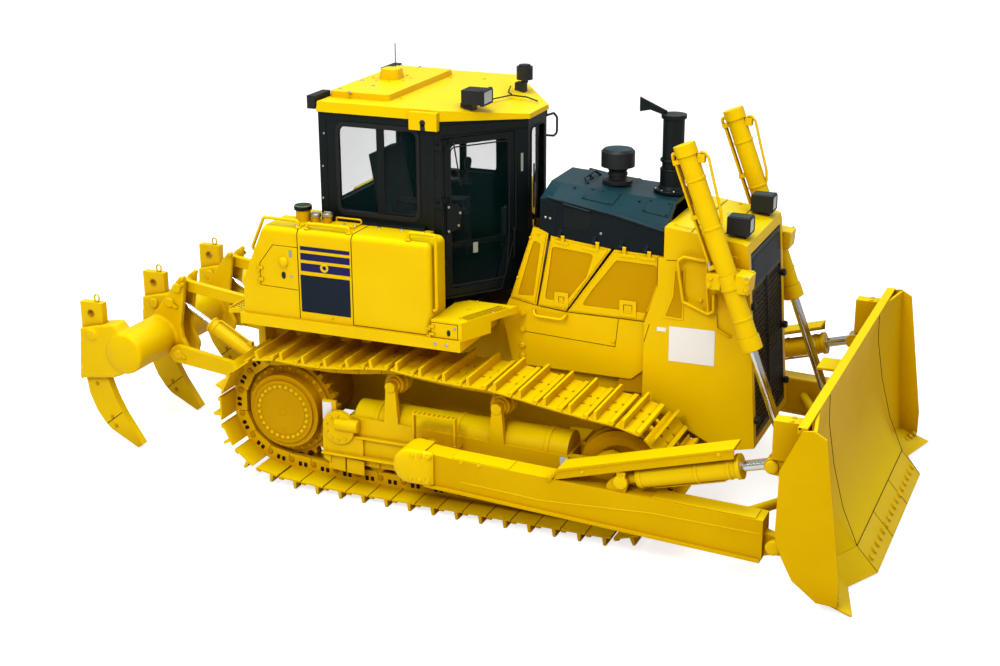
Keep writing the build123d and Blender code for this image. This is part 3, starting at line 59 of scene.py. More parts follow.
# Camera, solved from the photograph
CAMERA_PLACE = (5.406, -12.8772, 6.0372)
AZIMUTH, ELEVATION, ROLL = radians(22.523), radians(19.145), radians(-0.255)
FOCAL_LENGTH = 60.23


def add_camera():
    back = Vector((sin(AZIMUTH) * cos(ELEVATION), -cos(AZIMUTH) * cos(ELEVATION), sin(ELEVATION)))
    right = Vector((cos(AZIMUTH), sin(AZIMUTH), 0.0))
    up = back.cross(right)
    turned_right = right * cos(ROLL) + up * sin(ROLL)
    turned_up = up * cos(ROLL) - right * sin(ROLL)
    data = bpy.data.cameras.new("camera")
    data.lens, data.sensor_width, data.sensor_fit = FOCAL_LENGTH, 36.0, "HORIZONTAL"
    data.clip_start, data.clip_end = 0.1, 400.0
    camera = bpy.data.objects.new("camera", data)
    scene.collection.objects.link(camera)
    columns = Matrix((turned_right, turned_up, back)).transposed().to_4x4()
    camera.matrix_world = Matrix.Translation(CAMERA_PLACE) @ columns
    scene.camera = camera


# Finishes

class Value:
    """A socket in a finish's node tree that takes part in sums."""

    def __init__(self, finish, socket):
        self.finish, self.socket = finish, socket

    def __add__(self, other):
        return self.finish.math("ADD", self, other)

    def __sub__(self, other):
        return self.finish.math("SUBTRACT", self, other)

    def __rsub__(self, other):
        return self.finish.math("SUBTRACT", other, self)

    def __mul__(self, other):
        return self.finish.math("MULTIPLY", self, other)

    def __truediv__(self, other):
        return self.finish.math("DIVIDE", self, other)

    def __gt__(self, other):
        return self.finish.math("GREATER_THAN", self, other)

    def __lt__(self, other):
        return self.finish.math("LESS_THAN", self, other)

    __radd__ = __add__
    __rmul__ = __mul__


class Finish:
    """A material and its node tree. Constant numbers go straight on the shader's sockets."""

    def __init__(self, name, **constants):
        self.material = bpy.data.materials.new(name)
        self.material.use_nodes = True
        self.tree = self.material.node_tree
        self.shader = self.tree.nodes["Principled BSDF"]
        for key, value in constants.items():
            self.feed(self.shader.inputs[key.replace("_", " ")], value)

    def feed(self, socket, value):
        if isinstance(value, Value):
            self.tree.links.new(value.socket, socket)
        elif socket.type == "RGBA" and len(value) == 3:
            socket.default_value = (*value, 1.0)
        else:
            socket.default_value = value

    def node(self, kind, output=0, settings=(), inputs=()):
        made = self.tree.nodes.new(kind)
        for key, value in dict(settings).items():
            setattr(made, key, value)
        for key, value in dict(inputs).items():
            self.feed(made.inputs[key], value)
        return Value(self, made.outputs[output])

    def math(self, operation, *values, clamp=False):
        return self.node("ShaderNodeMath", 0, {"operation": operation, "use_clamp": clamp},
            enumerate(values))

    def mix(self, share, first, second):
        return self.node("ShaderNodeMix", 2, {"data_type": "RGBA"}, {0: share, 6: first, 7: second})

    def place(self):
        return self.node("ShaderNodeTexCoord", "Object")

    def noise(self, scale, detail=3.0, where=None, stretch=None):
        where = where or self.place()
        if stretch:
            where = self.node("ShaderNodeMapping", 0, {}, {"Vector": where, "Scale": stretch})
        return self.node("ShaderNodeTexNoise", 0, {}, {"Vector": where, "Scale": scale, "Detail": detail})

    def spread(self, value, low, high, to_low=0.0, to_high=1.0):
        """The value between low and high brought to the range between to_low and to_high."""
        return self.node("ShaderNodeMapRange", 0, {}, {0: value, 1: low, 2: high, 3: to_low, 4: to_high})

    def soft_edges(self, radius):
        return self.node("ShaderNodeBevel", 0, {"samples": 4}, {"Radius": radius})

    def hollows(self, reach):
        """Near 1 in the open and lower in corners and slots."""
        return self.node("ShaderNodeAmbientOcclusion", "AO", {"samples": 8}, {"Distance": reach})

    def bump(self, height, distance, normal=None, strength=1.0):
        inputs = {"Height": height, "Distance": distance, "Strength": strength}
        if normal:
            inputs["Normal"] = normal
        return self.node("ShaderNodeBump", 0, {}, inputs)

    def edges(self, radius):
        """Near 1 where the surface turns within the radius."""
        geometry = self.node("ShaderNodeNewGeometry", "Normal")
        likeness = self.node("ShaderNodeVectorMath", "Value", {"operation": "DOT_PRODUCT"},
            {0: self.soft_edges(radius), 1: geometry})
        return self.spread(likeness, 0.98, 0.8)

    def wear(self, **sockets):
        """Feeds sockets that change over the surface."""
        for key, value in sockets.items():
            self.feed(self.shader.inputs[key.replace("_", " ")], value)


def paint(name, colour, shade, hollow_shade, roughness, peel, coat=0.1, gloss=0.3, edge_highlight=1.12, dust=0.0,
        painted_top_light=None, tint=None):
    """Sprayed enamel: cloudy, with orange peel, painted light on upward faces and edges and painted shade in
    hollows.
    """
    made = Finish(name, Coat_Weight=coat, Coat_Roughness=0.16, Specular_IOR_Level=gloss)
    made.feed(made.shader.inputs["Specular Tint"], tint or (1.0, 1.0, 1.0))
    clouds = made.noise(1.7, 4.0)
    fine = made.noise(95.0, 3.0)
    body = made.mix(made.spread(clouds, 0.3, 0.7), colour, shade)
    # Painted light: faces turn towards a paler top colour the more they face upwards, as if lit from above.
    if painted_top_light:
        rise = made.node("ShaderNodeSeparateXYZ", "Z", {}, {"Vector": made.node("ShaderNodeNewGeometry",
            "Normal")})
        body = made.mix(made.spread(rise, 0.25, 0.95), body, painted_top_light)
    # Painted highlight: edges within 1 cm lighten towards a brighter copy of the colour.
    pale = tuple(min(1.0, part * edge_highlight) for part in colour)
    body = made.mix(made.edges(0.01) * 0.5, body, pale)
    # Painted shade: corners and slots darken towards a darker colour, by ambient occlusion.
    body = made.mix(made.spread(made.hollows(0.34), 0.25, 0.95, 0.85, 0.0), body, hollow_shade)
    if dust:
        film = made.spread(made.noise(7.0, 5.0), 0.45, 0.75) * dust
        body = made.mix(film, body, (0.42, 0.3, 0.12))
    made.wear(Base_Color=body, Roughness=made.spread(clouds + fine * 0.4, 0.4, 1.0, roughness,
        roughness + 0.12), Normal=made.bump(made.noise(210.0, 2.0) * peel, 0.0012, made.soft_edges(0.006)))
    return made.material


GOLD = (1.0, 0.8, 0.2)
# Painted light: the colour each paint below gives for upward faces makes them paler, as if lit from above.
YELLOW = paint("machine_yellow", (0.87, 0.565, 0.0), (0.83, 0.515, 0.0), (0.46, 0.2, 0.0), 0.34, 0.5, 0.05,
    0.14, painted_top_light=(0.94, 0.73, 0.0), tint=GOLD)
# Painted shade: the blade and push beams wear a darker copy of the machine's yellow.
SHADED_BLADE_YELLOW = paint("blade_yellow", (0.72, 0.43, 0.0), (0.67, 0.38, 0.0), (0.42, 0.18, 0.0), 0.48, 0.7,
    0.0, 0.06, painted_top_light=(0.9, 0.68, 0.0), tint=GOLD)
# Painted shade: a darker copy of the machine's yellow for recesses, wheels and parts low down.
SHADED_YELLOW = paint("recess_yellow", (0.6, 0.32, 0.0), (0.55, 0.28, 0.0), (0.38, 0.15, 0.0), 0.46, 0.9, 0.0,
     0.12, painted_top_light=(0.72, 0.46, 0.0), tint=GOLD)
EDGE_YELLOW = paint("cutting_edge_yellow", (0.78, 0.5, 0.0), (0.7, 0.43, 0.0), (0.4, 0.18, 0.0), 0.42, 1.4,
    0.03, 0.14, dust=0.08, painted_top_light=(0.88, 0.62, 0.0), tint=GOLD)
# Painted highlight: the cab's edges lighten strongly.
CAB_BLACK = paint("cab_black", (0.003, 0.006, 0.006), (0.005, 0.009, 0.01), (0.001, 0.002, 0.002), 0.36,
    0.8, 0.05, 0.16, 2.6)
# Painted reflection and highlight: the hood's upward faces take a sky blue and its edges lighten strongly.
HOOD_BLUE = paint("hood_dark_blue", (0.002, 0.006, 0.008), (0.003, 0.009, 0.012), (0.001, 0.003, 0.005),
    0.36, 0.9, 0.05, 0.12, 6.0, painted_top_light=(0.006, 0.042, 0.056))
STRIPE_BLUE = paint("stripe_blue", (0.005, 0.003, 0.062), (0.006, 0.004, 0.075), (0.003, 0.002, 0.04), 0.3,
    0.3, 0.1, 0.2)
BARE_BLACK = paint("bare_black_plate", (0.006, 0.011, 0.02), (0.008, 0.014, 0.026), (0.004, 0.006, 0.01),
    0.42, 0.3, 0.02, 0.12)
BARE_WHITE = paint("bare_white_plate", (0.9, 0.9, 0.89), (0.86, 0.86, 0.85), (0.3, 0.3, 0.3), 0.42, 0.3,
    0.05, 0.2, 1.0)
BARE_GREY = paint("bare_grey_plate", (0.33, 0.36, 0.3), (0.28, 0.31, 0.26), (0.12, 0.12, 0.12), 0.45, 0.3,
    0.0, 0.2, 1.1)
# Painted shade: dark brown lines and patches stand for the shade in gaps, slots and holes.
GAP_SHADE = paint("panel_gap", (0.03, 0.013, 0.001), (0.02, 0.009, 0.001), (0.008, 0.004, 0.0), 0.7, 0.2, 0.0,
    0.1, 1.0)
RED = paint("lever_red", (0.55, 0.012, 0.008), (0.48, 0.01, 0.006), (0.2, 0.0, 0.0), 0.35, 0.3)


def plain(name, colour, roughness, grain, grain_scale=160.0, edge=1.4, **constants):
    """A moulded or cast surface with grain, clouded roughness and a painted highlight on its edges."""
    made = Finish(name, **constants)
    clouds = made.noise(6.0, 4.0)
    darker = tuple(part * 0.75 for part in colour)
    body = made.mix(clouds, colour, darker)
    # Painted highlight: edges lighten towards a brighter copy of the colour.
    body = made.mix(made.edges(0.004) * 0.6, body, tuple(min(1.0, part * edge + 0.004) for part in colour))
    made.wear(Base_Color=body, Roughness=made.spread(clouds, 0.3, 0.7, roughness - 0.06, roughness + 0.06),
        Normal=made.bump(made.noise(grain_scale, 3.0) * grain, 0.002, made.soft_edges(0.003)))
    return made.material


PLASTIC = plain("moulded_black", (0.012, 0.013, 0.015), 0.48, 0.8, Specular_IOR_Level=0.3)
RUBBER = plain("seal_rubber", (0.01, 0.01, 0.011), 0.6, 0.6, 260.0, Specular_IOR_Level=0.25)
IRON = plain("engine_iron", (0.1, 0.1, 0.1), 0.6, 2.0, 60.0, Metallic=0.6)
SEAT_CLOTH = plain("seat_cloth", (0.02, 0.021, 0.024), 0.85, 2.4, 420.0)
ZINC = plain("zinc_plate", (0.6, 0.6, 0.55), 0.36, 0.5, 200.0, 1.1, Metallic=1.0)
LENS = plain("lamp_lens", (0.55, 0.62, 0.62), 0.16, 1.6, 90.0, 1.1, Coat_Weight=0.6)


def chrome():
    """Ground and plated rod: near mirror with faint rings along the stroke."""
    made = Finish("rod_chrome", Metallic=1.0, Base_Color=(0.7, 0.72, 0.74))
    made.wear(Roughness=made.spread(made.noise(60.0, 3.0), 0.3, 0.7, 0.08, 0.16),
        Normal=made.bump(made.noise(400.0, 2.0), 0.0002))
    return made.material


def tinted_glass():
    """Flat cab pane that lets most of the light through."""
    made = Finish("cab_glass", Roughness=0.02, Base_Color=(0.0, 0.022, 0.024), Specular_IOR_Level=0.3)
    made.wear(Alpha=made.spread(made.noise(1.2, 2.0), 0.3, 0.7, 0.12, 0.15))
    return made.material


CHROME = chrome()
GLASS = tinted_glass()

# CAD nodes that don't wear the machine's yellow; darker copies of it on the blade, beams and wheels are
# painted shade
NODE_FINISH = {"blade": SHADED_BLADE_YELLOW, "push_beams": SHADED_BLADE_YELLOW, "sprockets": SHADED_YELLOW,
    "idlers": SHADED_YELLOW, "cab_frame": CAB_BLACK, "cab_base": CAB_BLACK, "cab_door_right": CAB_BLACK,
    "cab_door_left": CAB_BLACK, "hood": HOOD_BLUE, "grille": CAB_BLACK, "exhaust_stack": CAB_BLACK,
    "pre_cleaner": PLASTIC, "work_lamps": PLASTIC, "roof_lamps": PLASTIC, "antennas": PLASTIC,
    "console": PLASTIC, "driver_seat": SEAT_CLOTH, "engine": IRON, "cab_glass": GLASS,
    "door_glass_right": GLASS, "door_glass_left": GLASS, "cutting_edges": EDGE_YELLOW,
    "lift_rod_right": CHROME, "lift_rod_left": CHROME, "tilt_rod_right": CHROME, "tilt_rod_left": CHROME,
    "ripper_rods": CHROME,}


def dress_nodes():
    for name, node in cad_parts.items():
        node.data.materials.clear()
        node.data.materials.append(NODE_FINISH.get(name, YELLOW))


# Floor, light and background

def add_stage():
    bpy.ops.mesh.primitive_plane_add(size=120.0, location=(0.0, 0.0, cad_box[0].z))
    floor = bpy.context.object
    floor.name = "floor"
    made = Finish("pale_floor", Base_Color=(0.7, 0.7, 0.7), Roughness=0.9, Specular_IOR_Level=0.1)
    made.wear(Emission_Color=made.mix(made.node("ShaderNodeLightPath", "Is Camera Ray"), (0.0, 0.0, 0.0),
        (1.0, 1.0, 1.0)))
    made.shader.inputs["Emission Strength"].default_value = 0.75
    floor.data.materials.append(made.material)
    # lamps: place, size, power
    for place, size, power in (((-0.5, -12.0, 11.0), 5.0, 1080.0), ((0.0, -3.0, 15.0), 6.0, 900.0),
            ((13.0, -6.0, 8.0), 8.0, 330.0), ((2.0, 10.0, 12.0), 9.0, 420.0)):
        data = bpy.data.lights.new("soft_lamp", "AREA")
        data.size, data.energy = size, power
        lamp = bpy.data.objects.new("soft_lamp", data)
        scene.collection.objects.link(lamp)
        lamp.location = place
        lamp.rotation_euler = (Vector((0.0, 0.0, 1.0)) - Vector(place)).to_track_quat("-Z", "Y").to_euler()
    world = bpy.data.worlds.new("studio")
    scene.world = world
    world.use_nodes = True
    tree = world.node_tree
    path = tree.nodes.new("ShaderNodeLightPath")
    seen = tree.nodes.new("ShaderNodeMath")
    seen.operation = "MAXIMUM"
    tree.links.new(path.outputs["Is Camera Ray"], seen.inputs[0])
    tree.links.new(path.outputs["Is Transmission Ray"], seen.inputs[1])
    strength = tree.nodes.new("ShaderNodeMapRange")
    tree.links.new(seen.outputs[0], strength.inputs[0])
    strength.inputs[3].default_value, strength.inputs[4].default_value = 0.42, 1.0
    background = tree.nodes["Background"]
    background.inputs["Color"].default_value = (1.0, 1.0, 1.0, 1.0)
    tree.links.new(strength.outputs[0], background.inputs["Strength"])
    scene.view_settings.view_transform = "Standard"


RIGHTWARDS, UPWARDS = (0, -1, 0), (0, 0, 1)


def rounded(points, bend):
    """The points with every inner corner replaced by an arc of the bend radius."""
    points = [Vector(p) for p in points]
    path = [points[0]]
    for before, corner, after in zip(points, points[1:], points[2:]):
        way_in, way_out = (before - corner).normalized(), (after - corner).normalized()
        half = way_in.angle(way_out) / 2
        if half > radians(88):
            path.append(corner)
            continue
        cut = min(bend / max(0.05, abs(sin(half) / cos(half))), 0.48 * (before - corner).length,
            0.48 * (after - corner).length)
        first, last = corner + way_in * cut, corner + way_out * cut
        for k in range(7):
            t = k / 6
            path.append(first * (1 - t) ** 2 + corner * 2 * t * (1 - t) + last * t ** 2)
    return path + [points[-1]]


def rounded_loop(corners, bend):
    """A closed outline of (x, z) corners with its corners rounded."""
    corners = [Vector((x, 0.0, z)) for x, z in corners]
    start = (corners[0] + corners[-1]) / 2
    path = rounded([start] + corners + [start], bend)
    return [Vector((place.x, place.z)) for place in path[:-1]]


def ray_end(loop, centre, angle):
    """Where a ray from the centre meets the closed outline."""
    way = Vector((cos(angle), sin(angle)))
    ends = []
    for k, corner in enumerate(loop):
        begin, edge = loop[k - 1] - centre, corner - loop[k - 1]
        span = way.x * edge.y - way.y * edge.x
        if abs(span) < 1e-12:
            continue
        reach = (begin.x * edge.y - begin.y * edge.x) / span
        share = (begin.x * way.y - begin.y * way.x) / span
        if reach > 0 and -1e-6 <= share <= 1 + 1e-6:
            ends.append(reach)
    return centre + way * max(ends)


class Piece:
    """Faces gathered into one mesh that wears one finish and rides on one body."""

    def __init__(self, name, finish, body="machine"):
        self.name, self.body, self.finish = name, body, finish
        self.mesh = bmesh.new()

    def face_strip(self, rings, closed_ends=True):
        """Joins rings of vertices one after the other and closes both ends."""
        for first, second in zip(rings, rings[1:]):
            for k in range(len(first)):
                corners = (first[k - 1], first[k], second[k], second[k - 1])
                corners = tuple(dict.fromkeys(corners))
                if len(corners) > 2:
                    self.mesh.faces.new(corners)
        if closed_ends:
            for ring in (rings[0], rings[-1]):
                if len(set(ring)) > 2:
                    self.mesh.faces.new(ring)

    def slab(self, corners, depth):
        """A plate from its corners (x, y, z), thick along the vector depth."""
        depth = Vector(depth)
        near = [self.mesh.verts.new(corner) for corner in corners]
        far = [self.mesh.verts.new(Vector(corner) + depth) for corner in corners]
        self.face_strip([near, far])

    def side_slab(self, corners, y, thick):
        """A plate from (x, z) corners at y, thick along Y."""
        self.slab([(x, y, z) for x, z in corners], (0.0, thick, 0.0))

    def block(self, low, high):
        (x0, y0, z0), (x1, y1, z1) = low, high
        self.slab([(x0, y0, z0), (x1, y0, z0), (x1, y1, z0), (x0, y1, z0)], (0.0, 0.0, z1 - z0))

    def turned(self, foot, axis, profile, sides=32, open_ends=False):
        """A profile of (radius, height) pairs turned about the axis that starts at the foot."""
        turn = Vector(axis).to_track_quat("Z", "Y")
        rings = []
        for radius, height in profile:
            ring = []
            for k in range(sides):
                angle = 2 * pi * k / sides
                place = Vector((radius * cos(angle), radius * sin(angle), height))
                ring.append(self.mesh.verts.new(Vector(foot) + turn @ place))
            rings.append(ring)
        self.face_strip(rings, not open_ends)

    def bar(self, start, end, radius, sides=24):
        axis = Vector(end) - Vector(start)
        self.turned(start, axis, [(radius, 0.0), (radius, axis.length)], sides)

    def tube(self, points, radius, bend=0.0, sides=12):
        """A round bar bent along the points."""
        path = rounded(points, bend) if bend else [Vector(p) for p in points]
        rings, before, side = [], None, None
        for k, place in enumerate(path):
            ahead = (path[min(k + 1, len(path) - 1)] - path[max(k - 1, 0)]).normalized()
            if side is None:
                side = ahead.orthogonal().normalized()
            else:
                side = (before.rotation_difference(ahead) @ side).normalized()
            before = ahead
            other = ahead.cross(side)
            ring = []
            for corner in range(sides):
                angle = 2 * pi * corner / sides
                ring.append(self.mesh.verts.new(place + (side * cos(angle) + other * sin(angle)) * radius))
            rings.append(ring)
        self.face_strip(rings)

    def pierced(self, outline, hole, y, thick, bend=0.02):
        """A plate at y with a hole that has rounded corners, both given as (x, z) corners."""
        outline, hole = [Vector(corner) for corner in outline], rounded_loop(hole, bend)
        centre = sum(hole, Vector((0.0, 0.0))) / len(hole)
        angles = sorted(atan2(corner.y - centre.y, corner.x - centre.x) for corner in outline + hole)
        rings = []
        for loop, depth in ((outline, 0.0), (hole, 0.0), (hole, thick), (outline, thick)):
            ring = [ray_end(loop, centre, angle) for angle in angles]
            rings.append([self.mesh.verts.new((place.x, y + depth, place.y)) for place in ring])
        self.face_strip(rings + rings[:1], closed_ends=False)

    def fit_both_sides(self, bevel=0.0, smooth=35.0):
        self.mirrored()
        return self.fit(bevel, smooth)

    def mirrored(self):
        """Adds the same faces on the other side of the machine."""
        copy = bmesh.ops.duplicate(self.mesh,
            geom=self.mesh.verts[:] + self.mesh.edges[:] + self.mesh.faces[:])
        for vertex in copy["geom"]:
            if isinstance(vertex, bmesh.types.BMVert):
                vertex.co.y = -vertex.co.y

    def fit(self, bevel=0.0, smooth=35.0):
        """Makes the object, with faces outwards, and lets it ride on its body."""
        bmesh.ops.recalc_face_normals(self.mesh, faces=self.mesh.faces[:])
        for face in self.mesh.faces:
            face.smooth = True
        for edge in self.mesh.edges:
            edge.smooth = len(edge.link_faces) == 2 and edge.calc_face_angle(0.0) < radians(smooth)
        data = bpy.data.meshes.new(self.name)
        self.mesh.to_mesh(data)
        self.mesh.free()
        data.materials.append(self.finish)
        made = bpy.data.objects.new(self.name, data)
        scene.collection.objects.link(made)
        if bevel:
            round_off = made.modifiers.new("rounded edges", "BEVEL")
            round_off.width, round_off.segments, round_off.angle_limit = bevel, 2, radians(40)
            round_off.harden_normals = False
        if self.body:
            ride(made, self.body)
        return made


def box(x0, x1, z0, z1):
    """The corners of an upright rectangle."""
    return [(x0, z0), (x1, z0), (x1, z1), (x0, z1)]


def band(radius, lip, slope, width):
    """The profile of a clamp round a pipe: its height over the pipe, its bevels and its width."""
    return [(radius, 0.0), (radius + lip, slope), (radius + lip, width - slope), (radius, width)]


def side_plates(name, finish, outlines, y, thick, bevel=0.0):
    """Plates at y on the right side and their mirror images, from (x, z) outlines."""
    plates = Piece(name, finish)
    for outline in outlines:
        plates.side_slab(outline, y, thick)
    plates.fit_both_sides(bevel)


def ride(made, body):
    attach(made, body)


def repeat_tree():
    """Node tree that sets a copy of one part on each point, turned and sized by the point's attributes."""
    tree = bpy.data.node_groups.new("part_on_points", "GeometryNodeTree")
    for name, kind in (("Points", "NodeSocketGeometry"), ("Part", "NodeSocketObject"),
            ("Size", "NodeSocketFloat"), ("Finish", "NodeSocketMaterial")):
        tree.interface.new_socket(name, in_out="INPUT", socket_type=kind)
    tree.interface.new_socket("Made", in_out="OUTPUT", socket_type="NodeSocketGeometry")

    def node(kind, settings=(), inputs=()):
        made = tree.nodes.new(kind)
        for key, value in dict(settings).items():
            setattr(made, key, value)
        for key, value in dict(inputs).items():
            if isinstance(value, bpy.types.NodeSocket):
                tree.links.new(value, made.inputs[key])
            else:
                made.inputs[key].default_value = value
        return made

    given = node("NodeGroupInput").outputs
    facing = node("GeometryNodeInputNamedAttribute", {"data_type": "FLOAT_VECTOR"},
        {"Name": "facing"}).outputs[0]
    along = node("GeometryNodeInputNamedAttribute", {"data_type": "FLOAT_VECTOR"},
        {"Name": "along"}).outputs[0]
    size = node("GeometryNodeInputNamedAttribute", {"data_type": "FLOAT"}, {"Name": "size"}).outputs[0]
    upright = node("FunctionNodeAlignRotationToVector", {"axis": "Z"}, {"Vector": facing}).outputs[0]
    turned = node("FunctionNodeAlignRotationToVector", {"axis": "X", "pivot_axis": "Z"},
        {"Rotation": upright, "Vector": along}).outputs[0]
    scaled = node("ShaderNodeMath", {"operation": "MULTIPLY"}, {0: size, 1: given["Size"]}).outputs[0]
    part = node("GeometryNodeObjectInfo", {}, {"Object": given["Part"]}).outputs["Geometry"]
    copies = node("GeometryNodeInstanceOnPoints", {}, {"Points": given["Points"], "Instance": part,
        "Rotation": turned, "Scale": scaled}).outputs[0]
    real = node("GeometryNodeRealizeInstances", {}, {"Geometry": copies}).outputs[0]
    dressed = node("GeometryNodeSetMaterial", {},
        {"Geometry": real, "Material": given["Finish"]}).outputs[0]
    node("NodeGroupOutput", {}, {"Made": dressed})
    return tree


REPEAT = repeat_tree()


def repeat(name, body, part, spots, size=1.0):
    """Copies of a part, whose foot is at the origin and whose top looks along Z, one on each spot:
    (place, facing, along, size)."""
    points = bpy.data.meshes.new(name)
    points.from_pydata([spot[0] for spot in spots], [], [])
    for column, (label, kind) in enumerate((("facing", "FLOAT_VECTOR"), ("along", "FLOAT_VECTOR"),
            ("size", "FLOAT")), 1):
        attribute = points.attributes.new(label, kind, "POINT")
        for item, spot in zip(attribute.data, spots):
            if kind == "FLOAT":
                item.value = spot[column]
            else:
                item.vector = spot[column]
    carrier = bpy.data.objects.new(name + "_points", points)
    scene.collection.objects.link(carrier)
    modifier = carrier.modifiers.new("repeat", "NODES")
    modifier.node_group = REPEAT
    sockets = {item.name: item.identifier for item in REPEAT.interface.items_tree if item.in_out == "INPUT"}
    finish = part.data.materials[0]
    modifier[sockets["Part"]], modifier[sockets["Size"]], modifier[sockets["Finish"]] = part, size, finish
    depsgraph = bpy.context.evaluated_depsgraph_get()
    made = bpy.data.objects.new(name, bpy.data.meshes.new_from_object(carrier.evaluated_get(depsgraph)))
    scene.collection.objects.link(made)
    for old in (carrier, part):
        bpy.data.objects.remove(old)
    ride(made, body)
    return made


def bolt_part(sides, finish, height=0.62, washer=1.35):
    """A bolt head of radius 1 on its washer, as a part to repeat."""
    head = Piece("bolt_part", finish, None)
    head.turned((0, 0, 0), UPWARDS, [(washer, -0.1), (washer, 0.16), (washer * 0.93, 0.22), (0.9, 0.22)],
        14)
    head.turned((0, 0, 0), UPWARDS, [(1.0, 0.1), (1.0, height), (0.82, height + 0.14)], sides)
    return head.fit()


BOLTS = {}


def bolt(body, place, facing, radius, finish=None, sides=6):
    finish = finish or YELLOW
    facing = Vector(facing).normalized()
    spin = 37.0 * len(BOLTS.get((body, finish.name, sides), ()))
    along = Matrix.Rotation(radians(spin), 3, facing) @ facing.orthogonal()
    BOLTS.setdefault((body, finish.name, sides), []).append((place, facing, along, radius))


def bolts_both_sides(body, places, facing, radius, finish=None, sides=6):
    for x, y, z in places:
        for side in (-1, 1):
            bolt(body, (x, -side * y, z), (facing[0], -side * facing[1], facing[2]), radius, finish, sides)


def side_bolts(places, y, radius, finish=None, sides=6, body="machine"):
    """Bolts at the (x, z) places of the side faces at -y and y."""
    bolts_both_sides(body, [(x, -y, z) for x, z in places], RIGHTWARDS, radius, finish, sides)


def fit_bolts():
    for number, ((body, finish_name, sides), spots) in enumerate(sorted(BOLTS.items())):
        repeat(f"bolts_{body}_{number}", body, bolt_part(sides, bpy.data.materials[finish_name]), spots)


def strip_line(piece, points, y, width=0.005, thick=0.0012):
    """A thin dark line along (x, z) points on a side face at -y."""
    for (x0, z0), (x1, z1) in zip(points, points[1:]):
        run = hypot(x1 - x0, z1 - z0)
        across = Vector((-(z1 - z0), x1 - x0)) * (width / 2 / run)
        piece.side_slab([(x0 + across.x, z0 + across.y), (x0 - across.x, z0 - across.y),
            (x1 - across.x, z1 - across.y), (x1 + across.x, z1 + across.y)], -y, -thick)


# Side tanks with their caps, lids and stripes

TANK_FACE, LID_FACE, BOX_LID_FACE = 1.23, 1.2295, 1.2395
DECK_TOP = 1.7


